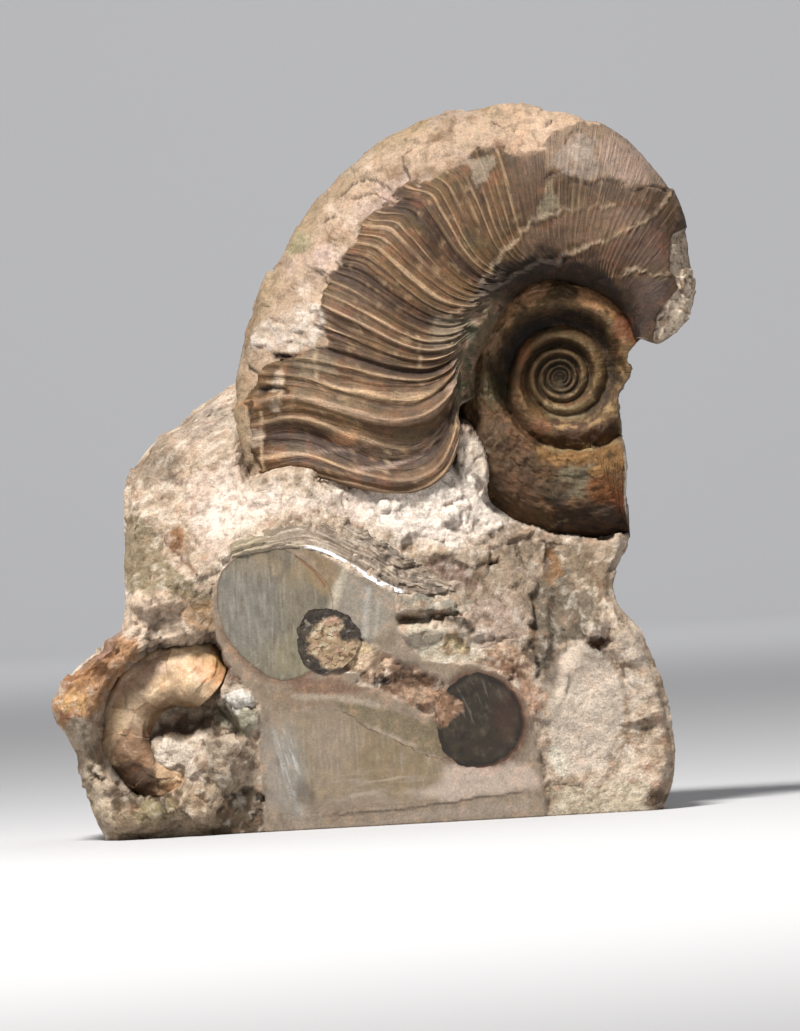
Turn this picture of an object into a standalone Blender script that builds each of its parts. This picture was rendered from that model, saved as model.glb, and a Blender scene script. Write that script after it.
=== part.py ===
"""An ammonite in its rock matrix, standing on its sawn base.

A block of pale rock is sawn flat underneath and polished flat on part of its front. A large ribbed
ammonite stands out of its top, a small smooth one sits at the lower left, and the polished face
cuts through a second coiled shell and a body chamber. X runs to the right, Y to the back, Z up,
and the origin is under the middle of the block.
"""
import math

import bmesh
import bpy
from mathutils import Vector, noise

# The sizes below are in millimetres, and MM turns them to metres.
MM = 0.001

# Driving dimensions of the block
FRONT = -20.0  # the polished face
BACK = 21.0
ROCK_TOP = 86.0  # the rock climbs this high behind the large ammonite
CLEARANCE = 0.35  # gap between a fossil and its bed in the rock
ROUGH_SIZE = 8.0  # width of the rough rock's lumps
ROUGH_HEIGHT = (1.0, 1.7, 0.85)  # how far they push across, inward and up
CAGE_CUTS = (20, 3, 20)  # cuts of the block's cage across, inward and up

# Outline of the rock from the front: height, left edge, right edge
ROCK_EDGES = (
    (0.0, -44.0, 40.2),
    (5.0, -46.3, 42.1),
    (11.0, -47.8, 42.4),
    (16.5, -49.3, 41.7),
    (20.2, -51.1, 40.7),
    (23.7, -49.5, 39.4),
    (27.2, -46.1, 38.3),
    (30.5, -41.0, 35.6),
    (34.0, -39.8, 34.8),
    (40.0, -39.2, 37.6),
    (47.0, -38.6, 37.8),
    (53.0, -37.8, 37.4),
    (57.0, -36.0, 37.2),
    (61.0, -31.9, 37.1),
    (64.4, -25.1, 38.0),
    (67.8, -20.5, 38.8),
    (72.0, -15.0, 40.0),
    (80.0, -6.0, 37.0),
    (ROCK_TOP, 4.0, 27.0),
)

# The ledge above the polished face: across the block, the height where it starts to slope back,
# and how far back the slope ends
LEDGE = (
    (-52.0, 36.0, 9.0),
    (-38.0, 37.0, 9.0),
    (-24.0, 42.0, 9.0),
    (-13.0, 45.0, 11.0),
    (-6.0, 45.5, 11.5),
    (1.0, 43.0, 12.5),
    (10.0, 37.0, 14.0),
    (16.0, 33.0, 15.0),
    (22.0, 29.0, 17.0),
    (30.0, 30.0, 19.0),
    (42.0, 28.0, 17.0),
)
LEDGE_SLOPE = 1.25

# Hollows and lumps of the rough front: across, up, half width, half height, depth (a lump is negative)
FRONT_RELIEF = (
    (-33.0, 14.0, 17.0, 18.0, 9.0),
    (-47.0, 21.5, 6.5, 6.0, -5.0),
    (32.0, 14.0, 12.0, 15.0, 2.6),
    (27.0, 28.0, 4.0, 7.0, 2.5),
    (32.5, 25.7, 2.5, 2.0, 1.6),
)
POLISHED_LEFT = -25.0
POLISHED_RIGHT = 21.5
SIDE_DROP = 2.4  # the rough rock lies this far behind the polished face
BED_RECESS = 22.0  # and this far behind it where the large ammonite covers it
BED_RIM = (2.5, 7.0)  # the step down starts this far outside the ammonite's outline, and its width

# The large ammonite. Its angles run anticlockwise from +X as seen from the front, and go on
# counting backwards into the inner coils.
UMBILICUS = (28.7, 65.9)
LAST_ANGLE = 196.2
OUTER_START = 8.0
INNER_END = -30.0
INNER_START = -1180.0
WORN_ANGLE = 96.8  # before this angle the outer whorl is broken down
RIB_COUNT = 40
RIB_HEIGHT = 0.7
RIB_ONSET = 22.0  # the ribs gain height from this angle on
WHORL_BED_GAP = RIB_HEIGHT + 0.25  # its bed clears the ribs
COIL_BED_GAP = 0.6
BREAK_X = 38.1  # the fracture that takes off the right side of the coil

# The small ammonite
SMALL_CENTRE = (-32.1, -11.8, 13.3)
SMALL_RADIUS = 15.8
SMALL_THICKNESS = 6.3
SMALL_END = 62.0
SMALL_START = 285.0
SMALL_GROWTH = 0.155  # how fast its spiral opens, per radian
SMALL_HOLLOW = 0.42  # inner radius of its whorl, over the outer one

# Cut shells in the polished face: middle of each disc (across, up) and its radius
GREY_DISC = ((-16.4, 32.7), 9.1)
DARK_DISC = ((13.7, 15.2), 6.6)
RING_DISC = ((-8.6, 28.1), 4.9)
RING_PARTNER = ((5.6, 19.6), 2.9)
DISC_STRETCH = 1.06

# Outline of the cut body chamber on the polished face
CHAMBER_OUTLINE = (
    (-20.0, 3.6),
    (-20.3, 11.0),
    (-19.6, 17.0),
    (-15.5, 19.0),
    (-9.5, 18.4),
    (-4.4, 15.8),
    (1.5, 11.6),
    (7.6, 8.2),
    (10.6, 4.6),
    (8.0, 2.6),
    (-5.0, 2.4),
    (-17.0, 2.4),
)
CHAMBER_MIDDLE = (-6.5, 9.5)
CHAMBER_ROWS = ((0.0, 1.0), (4.0, 1.0), (7.0, 0.88), (9.0, 0.62))  # depth, share of the outline
CUTTER_LEAD = 2.0  # the cut shells' beds run this far out through the polished face

# The laminated strip on the ledge: across, up, half width
STRIP_LINE = (
    (-22.5, 42.0, 0.5),
    (-18.5, 44.8, 2.2),
    (-13.0, 46.3, 2.9),
    (-7.0, 46.4, 3.1),
    (0.0, 43.8, 3.2),
    (6.0, 40.3, 2.4),
    (11.5, 36.6, 0.5),
)
STRIP_HALF_THICKNESS = 0.9
STRIP_LEAN = (0.78, 0.62)  # it lies on the slope: depth and height of its width's direction


def ease(t):
    """A smooth step from 0 to 1."""
    t = min(1.0, max(0.0, t))
    return t * t * (3.0 - 2.0 * t)


def mix(a, b, t):
    return a + (b - a) * t


def read_table(table, key, column):
    """The value of a column of the table at the key, on straight lines between its rows."""
    for low, high in zip(table, table[1:]):
        if key <= high[0]:
            t = max(0.0, (key - low[0]) / (high[0] - low[0]))
            return mix(low[column], high[column], t)
    return table[-1][column]


def smooth_point(points, t, closed=False):
    """A point at t (0 to 1) on the smooth curve through the points."""
    count = len(points)
    spans = count if closed else count - 1
    place = min(t, 0.999999) * spans
    i = int(place)
    f = place - i

    def pick(k):
        return Vector(points[k % count] if closed else points[min(max(k, 0), count - 1)])

    a, b, c, d = pick(i - 1), pick(i), pick(i + 1), pick(i + 2)
    return 0.5 * (2 * b + (c - a) * f + (2 * a - 5 * b + 4 * c - d) * f * f + (3 * b - a - 3 * c + d) * f**3)


# Shape of the large ammonite


def venter_radius(angle):
    """Distance from the umbilicus to the outer edge of the whorl, in millimetres."""
    if angle < 0.0:
        return 25.1 * math.exp(0.137 * math.radians(angle + 93.2))
    worn = 1.0 - 6.57e-4 * max(0.0, WORN_ANGLE - angle) ** 1.5
    return 42.3 * math.exp(0.108 * math.radians(angle - 92.8)) * worn


def dorsal_radius(angle):
    """Distance from the umbilicus to the inner edge of the whorl."""
    if angle < 0.0:
        return 0.9 * venter_radius(angle - 360.0)
    return venter_radius(angle - 360.0) * mix(0.92, 0.62, ease((angle - 95.0) / 80.0))


def half_thickness(angle):
    if angle < 0.0:
        return 0.29 * venter_radius(angle) + 0.4
    return mix(8.0, 13.2, ease((angle + 10.0) / 210.0))


def rib_sweep(angle, flank):
    """How far a rib runs ahead of its outer end, in degrees, at a place on the flank (0 to 1)."""
    reach = 1.5 + 4.0 * ease((angle - 107.0) / 70.0) + 4.5 * ease((angle - 172.0) / 24.0)
    swing = math.exp(-(((flank - 0.2) / 0.17) ** 2)) - 0.12 * math.exp(-(((flank - 0.75) / 0.15) ** 2))
    return reach * swing - 2.2 * reach * math.exp(-flank / 0.045)


def broken_edge(angle, flank):
    """The last whorl is broken off further along on its inner flank than at its outer edge."""
    return 12.0 * math.exp(-(((flank - 0.3) / 0.35) ** 2)) * ease((angle - 165.0) / 31.0) ** 2


def whorl_point(angle, around, grow=0.0, rib=0.0):
    """A point of the whorl's surface. around goes from the venter (0) over the front flank,
    the inner edge (0.5) and the back flank to the venter again (1)."""
    turn = 2.0 * math.pi * around
    lean = turn - 0.4 * math.sin(turn)
    across = 0.5 + 0.5 * math.cos(turn)  # 0 at the inner edge, 1 at the venter
    flank = max(0.0, (across - 0.06) / 0.94)
    thick = math.copysign(abs(math.sin(lean)) ** mix(0.5, 0.7, across), -math.sin(lean))
    outer = venter_radius(angle) + grow
    inner = max(0.0, dorsal_radius(angle) - grow)
    height = rib * ease((flank - 0.02) / 0.1) * (1.0 - ease((across - 0.72) / 0.12))
    at = angle
    if angle > 0.0:
        at += rib_sweep(angle, flank) * ease((angle - OUTER_START) / 20.0) + broken_edge(angle, flank)
    radius = mix(inner, outer, across)
    depth = (half_thickness(angle) + grow + height) * thick
    return Vector(
        (
            UMBILICUS[0] + radius * math.cos(math.radians(at)),
            depth,
            UMBILICUS[1] + radius * math.sin(math.radians(at)),
        )
    )


# Shape of the small ammonite


def small_point(angle, around, grow=0.0):
    turn = 2.0 * math.pi * around
    lean = turn - 0.25 * math.sin(turn)
    across = 0.5 + 0.5 * math.cos(turn)
    outer = SMALL_RADIUS * math.exp(-SMALL_GROWTH * math.radians(angle - 70.0))
    inner = SMALL_HOLLOW * outer - grow
    thick = math.copysign(abs(math.sin(lean)) ** 0.8, -math.sin(lean))
    half = SMALL_THICKNESS * outer / SMALL_RADIUS + grow
    radius = mix(inner, outer + grow, across)
    return Vector(
        (
            SMALL_CENTRE[0] + radius * math.cos(math.radians(angle)),
            SMALL_CENTRE[1] + half * thick,
            SMALL_CENTRE[2] + radius * math.sin(math.radians(angle)),
        )
    )


# Shape of the cut shells


def horn_point(start, end, along, around, grow=0.0, lead=0.0):
    """A half turn of a coiled shell that dives from one disc of the polished face to another.
    lead carries both ends straight out in front of the face."""
    (start_xy, start_radius), (end_xy, end_radius) = start, end
    first = Vector((start_xy[0], FRONT, start_xy[1]))
    last = Vector((end_xy[0], FRONT, end_xy[1]))
    middle = (first + last) / 2.0
    reach = (last - first).length / 2.0
    side = (last - first).normalized()
    up = Vector((-side.z, 0.0, side.x))
    phi = math.pi * min(1.0, max(0.0, along))
    radial = -side * math.cos(phi) + Vector((0.0, math.sin(phi), 0.0))
    radius = mix(start_radius, end_radius, phi / math.pi) + grow
    turn = 2.0 * math.pi * around
    ahead = lead if along < 0.0 or along > 1.0 else 0.0
    centre = middle + radial * reach - Vector((0.0, ahead, 0.0))
    return centre + radial * radius * math.cos(turn) + up * radius * DISC_STRETCH * math.sin(turn)


def chamber_point(along, around, grow=0.0, lead=0.0):
    depth = CHAMBER_ROWS[-1][0] * along
    shrink = read_table(CHAMBER_ROWS, depth, 1)
    depth += grow * along - (lead if along == 0.0 else 0.0)
    point = smooth_point(CHAMBER_OUTLINE, 1.0 - around, closed=True)
    centre = Vector(CHAMBER_MIDDLE)
    away = point - centre
    point = centre + away * shrink + away.normalized() * grow
    return Vector((point.x, FRONT + depth, point.y))


def strip_point(along, around, grow=0.0):
    place = smooth_point(STRIP_LINE, along)
    turn = 2.0 * math.pi * around
    up_slope = Vector((0.0, STRIP_LEAN[0], STRIP_LEAN[1]))
    out_of_slope = Vector((0.0, -STRIP_LEAN[1], STRIP_LEAN[0]))
    sunk = max(rock_front(place.x, place.y) + 0.3, FRONT + STRIP_HALF_THICKNESS)
    centre = Vector((place.x, sunk, place.y))
    centre.x += grow * (2.0 * along - 1.0)
    width = (max(place.z, 0.4) + grow) * math.cos(turn)
    height = (STRIP_HALF_THICKNESS * min(1.0, max(place.z, 0.4) / 2.0) + grow) * math.sin(turn)
    return centre + up_slope * width + out_of_slope * height


# Shape of the rock


def inside_coil(x, z):
    """How far a point lies inside the large ammonite's outline, in millimetres (negative outside)."""
    dx = x - UMBILICUS[0]
    dz = z - UMBILICUS[1]
    radius = math.hypot(dx, dz)
    angle = math.degrees(math.atan2(dz, dx)) % 360.0
    best = -30.0
    if angle <= LAST_ANGLE + 30.0:
        inner = dorsal_radius(LAST_ANGLE)
        flank = (radius - inner) / (venter_radius(LAST_ANGLE) - inner)
        end = LAST_ANGLE + rib_sweep(LAST_ANGLE, flank) + broken_edge(LAST_ANGLE, flank)
        past_end = math.radians(end - angle) * radius
        best = min(venter_radius(min(angle, LAST_ANGLE)) - radius, past_end)
    if angle >= 170.0:
        best = max(best, venter_radius(angle - 360.0) - radius)
    return best


def rock_front(x, z):
    """Depth of the rock's front at a place, before its roughness."""
    foot = read_table(LEDGE, x, 1)
    limit = read_table(LEDGE, x, 2)
    above = z - foot
    recess = limit * ease(above * LEDGE_SLOPE / limit * 0.75)
    recess += SIDE_DROP * max(ease((POLISHED_LEFT - x) / 5.0), ease((x - POLISHED_RIGHT) / 2.5))
    for cx, cz, half_width, half_height, depth in FRONT_RELIEF:
        near = ((x - cx) / half_width) ** 2 + ((z - cz) / half_height) ** 2
        recess += depth * ease(1.0 - near)
    recess = mix(recess, BED_RECESS, ease((inside_coil(x, z) + BED_RIM[0]) / BED_RIM[1]))
    return FRONT + recess


def rock_back(x, z):
    dome = 5.0 * (x / 46.0) ** 2 + 5.0 * ease((z - 35.0) / 55.0) ** 2 + 2.5 * ease((14.0 - z) / 14.0)
    return BACK - dome + 2.2 * noise.noise(Vector((x, 9.0, z)) / 17.0)


def roughness(point, size):
    """A smooth random push, about -1 to 1 in each direction, that varies over the given size."""
    place = Vector(point) / size
    return Vector([noise.noise(place + Vector(shift)) for shift in ((0, 0, 0), (37, 0, 0), (0, 53, 0))])


def rock_point(across, inward, up):
    """A point of the rock from the cage's three coordinates, each -1 to 1."""
    z = ROCK_TOP * (up + 1.0) / 2.0
    left = read_table(ROCK_EDGES, z, 1)
    right = read_table(ROCK_EDGES, z, 2)
    x = mix(left, right, (across + 1.0) / 2.0)
    front = rock_front(x, z)
    back = rock_back(x, z)
    y = mix(front, back, (inward + 1.0) / 2.0)
    rounding = 1.0 - 0.13 * max(0.0, inward) ** 3 - 0.02 * min(0.0, inward) ** 4
    middle = (left + right) / 2.0
    x = middle + (x - middle) * rounding
    z *= 1.0 - 0.1 * max(0.0, inward) ** 3 * up * up
    above_base = ease((z - 1.0) / 6.0)
    rough = roughness((x, y, z), ROUGH_SIZE) * Vector(ROUGH_HEIGHT) * above_base
    on_polish = inward < -0.999 and front < FRONT + 0.05
    if on_polish:
        rough = Vector()
    return Vector((x, y, z)) + rough


# Mesh builders


def add_object(name, mesh_data, material, collection):
    """Turns a bmesh in millimetres into an object in metres."""
    bmesh.ops.scale(mesh_data, vec=(MM, MM, MM), verts=mesh_data.verts)
    mesh = bpy.data.meshes.new(name)
    mesh_data.to_mesh(mesh)
    mesh_data.free()
    for polygon in mesh.polygons:
        polygon.use_smooth = True
    piece = bpy.data.objects.new(name, mesh)
    collection.objects.link(piece)
    if material:
        mesh.materials.append(material)
    return piece


def loft(name, point, rows, sides, material, collection):
    """A closed tube: point(along, around) is asked for both from 0 to 1, and the ends are capped."""
    cage = bmesh.new()
    bmesh.ops.create_grid(cage, x_segments=rows, y_segments=sides, size=1.0)
    for vert in cage.verts:
        vert.co = point((vert.co.x + 1.0) / 2.0, (vert.co.y + 1.0) / 2.0)
    bmesh.ops.remove_doubles(cage, verts=cage.verts, dist=0.001)
    rims = [edge for edge in cage.edges if edge.is_boundary]
    caps = bmesh.ops.holes_fill(cage, edges=rims, sides=0)["faces"]
    bmesh.ops.poke(cage, faces=caps)
    bmesh.ops.recalc_face_normals(cage, faces=cage.faces)
    return add_object(name, cage, material, collection)


def boolean(piece, other, operation, own_overlaps=False):
    modifier = piece.modifiers.new(f"{operation.lower()} {other.name}", "BOOLEAN")
    modifier.operation = operation
    modifier.solver = "EXACT"
    modifier.use_self = own_overlaps
    modifier.object = other


def as_cutter(piece):
    piece.hide_render = True
    piece.display_type = "WIRE"
    return piece


def stone(name, colour, roughness):
    material = bpy.data.materials.new(name)
    material.use_nodes = True
    shader = material.node_tree.nodes["Principled BSDF"]
    shader.inputs["Base Color"].default_value = (*colour, 1.0)
    shader.inputs["Roughness"].default_value = roughness
    shader.inputs["Metallic"].default_value = 0.0
    return material


# The pieces


def outer_whorl(name, collection, material=None, grow=0.0, rows=RIB_COUNT * 2, ribs=True):
    """The last whorl, from the fracture on the right round to its broken end."""
    first = OUTER_START - 3.0 * grow
    last = LAST_ANGLE + 3.0 * grow

    def point(along, around):
        angle = mix(first, last, along)
        crest = round(along * rows) % 2 == 1
        strength = ease((angle - RIB_ONSET) / 120.0)
        rib = mix(0.25, RIB_HEIGHT, strength) if ribs and crest else 0.0
        return whorl_point(angle, around, grow, rib)

    return loft(name, point, rows, 16, material, collection)


def inner_coils(name, collection, first, rows, grow=0.0):
    """The coils inside the last whorl, inwards to the angle first."""

    def point(along, around):
        return whorl_point(mix(first, INNER_END + 3.0 * grow, along), around, grow)

    return loft(name, point, rows, 10, None, collection)


def centre_disc(name, collection):
    """A flat round hollow behind the innermost coils."""
    cage = bmesh.new()
    bmesh.ops.create_uvsphere(cage, u_segments=20, v_segments=8, radius=1.0)
    radius = 1.2 * venter_radius(INNER_END - 340.0)
    thickness = 1.3 * half_thickness(INNER_END - 340.0)
    bmesh.ops.scale(cage, vec=(radius, thickness, radius), verts=cage.verts)
    bmesh.ops.translate(cage, vec=(UMBILICUS[0], 0.0, UMBILICUS[1]), verts=cage.verts)
    return add_object(name, cage, None, collection)


def fracture(name, collection):
    """The slab of rock and shell that is missing from the coil's right side, as a cutter."""
    outline = (
        (BREAK_X - 0.4, 36.0),
        (BREAK_X + 0.1, 47.0),
        (BREAK_X - 0.9, 57.0),
        (BREAK_X - 0.6, 63.0),
        (BREAK_X + 0.9, 68.5),
        (BREAK_X + 4.6, 70.0),
        (BREAK_X + 8.4, 71.4),
        (BREAK_X + 11.4, 75.0),
        (BREAK_X + 12.7, 79.0),
        (BREAK_X + 12.3, 83.0),
        (BREAK_X + 11.4, 87.0),
        (BREAK_X + 30.0, 92.0),
        (BREAK_X + 30.0, 36.0),
    )
    cage = bmesh.new()
    bmesh.ops.create_circle(cage, cap_ends=True, segments=len(outline), radius=1.0)
    cage.verts.ensure_lookup_table()
    for vert, (x, z) in zip(cage.verts, outline):
        vert.co = Vector((x, FRONT - 5.0, z))
    front = cage.faces[:]
    side = bmesh.ops.extrude_face_region(cage, geom=front)
    moved = [item for item in side["geom"] if isinstance(item, bmesh.types.BMVert)]
    bmesh.ops.translate(cage, verts=moved, vec=(0.0, BACK - FRONT + 10.0, 0.0))
    bmesh.ops.recalc_face_normals(cage, faces=cage.faces)
    return as_cutter(add_object(name, cage, None, collection))


def large_ammonite(parts, cutters):
    shell = stone("ribbed shell", (0.30, 0.21, 0.14), 0.45)
    piece = outer_whorl("large_ammonite", parts, shell)
    coils = as_cutter(inner_coils("inner coils", cutters, INNER_START, 42))
    boolean(piece, coils, "UNION", own_overlaps=True)
    boolean(piece, fracture("missing side", cutters), "DIFFERENCE")
    return piece


def small_ammonite(name, collection, material=None, grow=0.0):
    def point(along, around):
        return small_point(mix(SMALL_END - grow, SMALL_START + grow, along), around, grow)

    return loft(name, point, 18, 12, material, collection)


def horn(name, collection, start, end, material=None, grow=0.0, sides=18):
    """A cut half turn of shell. Its cutter runs out through the polished face."""

    def point(along, around):
        if grow:
            return horn_point(start, end, mix(-0.07, 1.07, along), around, grow, CUTTER_LEAD)
        return horn_point(start, end, along, around)

    return loft(name, point, 12, sides, material, collection)


def sawn_ammonite(parts, cutters):
    calcite = stone("grey calcite", (0.36, 0.33, 0.28), 0.2)
    piece = horn("sawn_ammonite", parts, GREY_DISC, DARK_DISC, calcite)
    ring = as_cutter(horn("inner turn", cutters, RING_DISC, RING_PARTNER, sides=12))
    boolean(piece, ring, "UNION")
    return piece


def sawn_body_chamber(name, collection, material=None, grow=0.0):
    lead = CUTTER_LEAD if grow else 0.0

    def point(along, around):
        return chamber_point(along, around, grow, lead)

    return loft(name, point, 4, 24, material, collection)


def shell_fragment(name, collection, material=None, grow=0.0):
    def point(along, around):
        return strip_point(along, around, grow)

    return loft(name, point, 12, 6, material, collection)


def matrix(parts, cutters):
    """The rock, with a bed cut for each fossil."""
    rock = stone("pale rock", (0.55, 0.44, 0.35), 0.85)
    cage = bmesh.new()
    bmesh.ops.create_cube(cage, size=2.0)
    for axis, cuts in enumerate(CAGE_CUTS):
        edges = [e for e in cage.edges if abs(e.verts[0].co[axis] - e.verts[1].co[axis]) > 1e-4]
        bmesh.ops.subdivide_edges(cage, edges=edges, cuts=cuts, use_grid_fill=True)
    for vert in cage.verts:
        vert.co = rock_point(*vert.co)
    piece = add_object("matrix", cage, rock, parts)
    beds = (
        outer_whorl("bed of the last whorl", cutters, grow=WHORL_BED_GAP, rows=RIB_COUNT, ribs=False),
        inner_coils("bed of the inner coils", cutters, INNER_END - 345.0, 24, grow=COIL_BED_GAP),
        centre_disc("hollow behind the centre", cutters),
        small_ammonite("bed of the small ammonite", cutters, grow=CLEARANCE),
        horn("bed of the cut coil", cutters, GREY_DISC, DARK_DISC, grow=CLEARANCE),
        horn("bed of the inner turn", cutters, RING_DISC, RING_PARTNER, grow=CLEARANCE, sides=12),
        sawn_body_chamber("bed of the body chamber", cutters, grow=1.5 * CLEARANCE),
        shell_fragment("bed of the shell strip", cutters, grow=2.0 * CLEARANCE),
    )
    for bed in beds:
        boolean(piece, as_cutter(bed), "DIFFERENCE")
    return piece


def build():
    for item in list(bpy.data.objects):
        bpy.data.objects.remove(item)
    parts = bpy.data.collections.new("ammonite in matrix")
    cutters = bpy.data.collections.new("cutters")
    for collection in (parts, cutters):
        bpy.context.scene.collection.children.link(collection)
    matrix(parts, cutters)
    large_ammonite(parts, cutters)
    small_ammonite("small_ammonite", parts, stone("smooth shell", (0.40, 0.30, 0.20), 0.4))
    sawn_ammonite(parts, cutters)
    sawn_body_chamber("sawn_body_chamber", parts, stone("tan calcite", (0.42, 0.33, 0.24), 0.2))
    shell_fragment("shell_fragment", parts, stone("laminated shell", (0.38, 0.32, 0.27), 0.4))


build()
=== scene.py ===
# %% [markdown]
# # An ammonite in its rock
#
# The block is a piece of pale limestone with a big ribbed ammonite on top. A saw has cut its base and
# part of its front, and the cut front is polished, so it shows other shells in section.
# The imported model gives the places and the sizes. This script gives each piece its real surface:
# ribs, coils, broken rock, cut shell, and the colours that go with them.
# Everything is written in millimetres and is turned to metres when a mesh is made.

import math
from types import SimpleNamespace

import bmesh
import bpy
import numpy as np
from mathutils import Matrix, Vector


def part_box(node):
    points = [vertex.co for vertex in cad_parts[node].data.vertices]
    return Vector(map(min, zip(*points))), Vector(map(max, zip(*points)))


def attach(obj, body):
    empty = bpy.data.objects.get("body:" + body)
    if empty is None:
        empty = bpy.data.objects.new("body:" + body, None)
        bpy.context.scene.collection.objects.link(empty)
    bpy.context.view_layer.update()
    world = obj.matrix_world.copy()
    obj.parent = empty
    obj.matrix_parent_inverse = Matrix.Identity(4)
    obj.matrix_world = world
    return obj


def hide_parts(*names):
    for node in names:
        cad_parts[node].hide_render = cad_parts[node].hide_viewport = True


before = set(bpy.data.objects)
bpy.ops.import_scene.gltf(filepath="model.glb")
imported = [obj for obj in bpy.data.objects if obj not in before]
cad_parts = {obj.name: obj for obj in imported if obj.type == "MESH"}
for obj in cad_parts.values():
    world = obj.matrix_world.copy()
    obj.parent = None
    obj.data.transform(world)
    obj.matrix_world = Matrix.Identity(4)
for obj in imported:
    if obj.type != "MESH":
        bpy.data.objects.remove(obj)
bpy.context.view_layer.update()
MM = 0.001
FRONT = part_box("sawn_ammonite")[0].y / MM  # the polished face
print("nodes:", sorted(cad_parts), "polished face at y =", round(FRONT, 2), "mm")

# %% [markdown]
# ## Smooth steps, curves and noise
#
# A natural surface is a sum of a few simple things: smooth steps, curves through measured points,
# and noise of several sizes. Blender's own noise works on one point at a time. A fossil needs it for
# a hundred thousand points, so here it is written for whole arrays. Each lattice corner gets a random
# slope from its whole-number address, so the result is the same on every run.

# %% Steps and curves


def ease(t):
    """A smooth step from 0 to 1."""
    t = np.clip(t, 0.0, 1.0)
    return t * t * (3.0 - 2.0 * t)


def mix(a, b, t):
    return a + (b - a) * t


def curve(at, table, column=1):
    """A smooth curve through one column of a table, read at the first column."""
    rows = np.array(table, float)
    keys, values = rows[:, 0], rows[:, column]
    slopes = np.gradient(values, keys)
    i = np.clip(np.searchsorted(keys, at) - 1, 0, len(keys) - 2)
    width = keys[i + 1] - keys[i]
    t = np.clip((at - keys[i]) / width, 0.0, 1.0)
    start = (2 * t**3 - 3 * t**2 + 1) * values[i] + (t**3 - 2 * t**2 + t) * slopes[i] * width
    end = (3 * t**2 - 2 * t**3) * values[i + 1] + (t**3 - t**2) * slopes[i + 1] * width
    return start + end


# %% Noise


def scatter(cells, seed):
    """Three repeatable random numbers from -1 to 1 for each whole-number cell."""
    whole = cells.astype(np.int64)
    mixed = whole[..., 0] * 374761393 + whole[..., 1] * 668265263 + whole[..., 2] * 974634777
    mixed = (mixed + seed * 144665911) & 0xFFFFFFFF
    mixed = ((mixed ^ (mixed >> 15)) * 739982445) & 0xFFFFFFFF
    mixed = ((mixed ^ (mixed >> 12)) * 695872825) & 0xFFFFFFFF
    mixed = mixed ^ (mixed >> 15)
    parts = np.stack((mixed & 0x3FF, (mixed >> 10) & 0x3FF, (mixed >> 20) & 0x3FF), axis=-1)
    return parts / 511.5 - 1.0


def noise(points, size, seed=0):
    """Smooth noise, about -1 to 1, that changes over the given size in millimetres."""
    place = points / size
    base = np.floor(place)
    f = place - base
    fade = f**3 * (f * (f * 6.0 - 15.0) + 10.0)
    total = np.zeros(points.shape[:-1])
    for corner in np.ndindex(2, 2, 2):
        step = np.array(corner)
        weight = np.prod(np.where(step == 1, fade, 1.0 - fade), axis=-1)
        total += weight * np.sum(scatter(base + step, seed) * (f - step), axis=-1)
    return 1.6 * total


def rough(points, size, octaves=4, seed=0, gain=0.5):
    """Noise of several sizes, each half as big and weaker."""
    total = np.zeros(points.shape[:-1])
    strength = 1.0
    for octave in range(octaves):
        total += strength * noise(points, size / 2**octave, seed + octave)
        strength *= gain
    return total


def chips(points, size, seed=0):
    """Broken rock: every cell is a small plane with its own tilt. Also says how near its edge is."""
    place = points / size
    base = np.floor(place)
    nearest = np.full(points.shape[:-1], 9.0)
    second = nearest.copy()
    height = np.zeros_like(nearest)
    for corner in np.ndindex(3, 3, 3):
        cell = base + np.array(corner) - 1.0
        away = place - cell - 0.5 - 0.42 * scatter(cell, seed)
        distance = np.sqrt(np.sum(away**2, axis=-1))
        tilt = scatter(cell, seed + 1)
        plane = np.sum(tilt * away, axis=-1) + 0.5 * scatter(cell, seed + 2)[..., 0]
        closer = distance < nearest
        second = np.where(closer, nearest, np.minimum(second, distance))
        height = np.where(closer, plane, height)
        nearest = np.where(closer, distance, nearest)
    return height, second - nearest


# %% [markdown]
# ## Marks: spots, areas and lines
#
# Stains, patches and cracks have a place on the real block, so each is written down as a spot, an area
# or a line in the plane of the front (X across, Z up). A mark returns 1 inside and 0 outside with a
# soft edge. Before it is asked for, the coordinates are shaken by a little noise, so that no edge
# looks drawn with a ruler. What has no place of its own, such as mottling, is laid on in clouds.

# %% Mark shapes


def spot(x, z, centre, radii, turn=0.0, soft=0.4):
    """1 inside an ellipse. soft is the share of its radius in which it fades."""
    c, s = math.cos(math.radians(turn)), math.sin(math.radians(turn))
    dx, dz = x - centre[0], z - centre[1]
    reach = np.hypot((dx * c + dz * s) / radii[0], (dz * c - dx * s) / radii[1])
    return ease((1.0 - reach) / soft + 0.5)


def line_distance(x, z, points):
    """Distance to a line of points, and its side: positive on the left as the line runs."""
    best = np.full(x.shape, 1e9)
    side = np.zeros(x.shape)
    for (ax, az), (bx, bz) in zip(points, points[1:]):
        ux, uz = bx - ax, bz - az
        t = np.clip(((x - ax) * ux + (z - az) * uz) / (ux * ux + uz * uz), 0.0, 1.0)
        distance = np.hypot(x - ax - t * ux, z - az - t * uz)
        cross = ux * (z - az) - uz * (x - ax)
        side = np.where(distance < best, np.sign(cross), side)
        best = np.minimum(best, distance)
    return best, side


def line(x, z, points, width, soft=0.5):
    """1 on a line of the given width."""
    distance, _ = line_distance(x, z, points)
    return ease((0.5 * width - distance) / (soft * width) + 0.5)


def deepest(x, z, lines, width):
    """1 on any of several lines of the same width."""
    return np.max([line(x, z, points, width) for points in lines], axis=0)


def area(x, z, outline, soft=0.6):
    """1 inside an outline. soft is the width of its edge in millimetres."""
    ring = list(outline) + [outline[0]]
    distance, _ = line_distance(x, z, ring)
    within = np.zeros(x.shape, bool)
    for (ax, az), (bx, bz) in zip(ring, ring[1:]):
        if az != bz:
            crosses = (az > z) != (bz > z)
            within ^= crosses & (x < ax + (z - az) * (bx - ax) / (bz - az))
    return ease(np.where(within, distance, -distance) / soft + 0.5)


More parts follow.
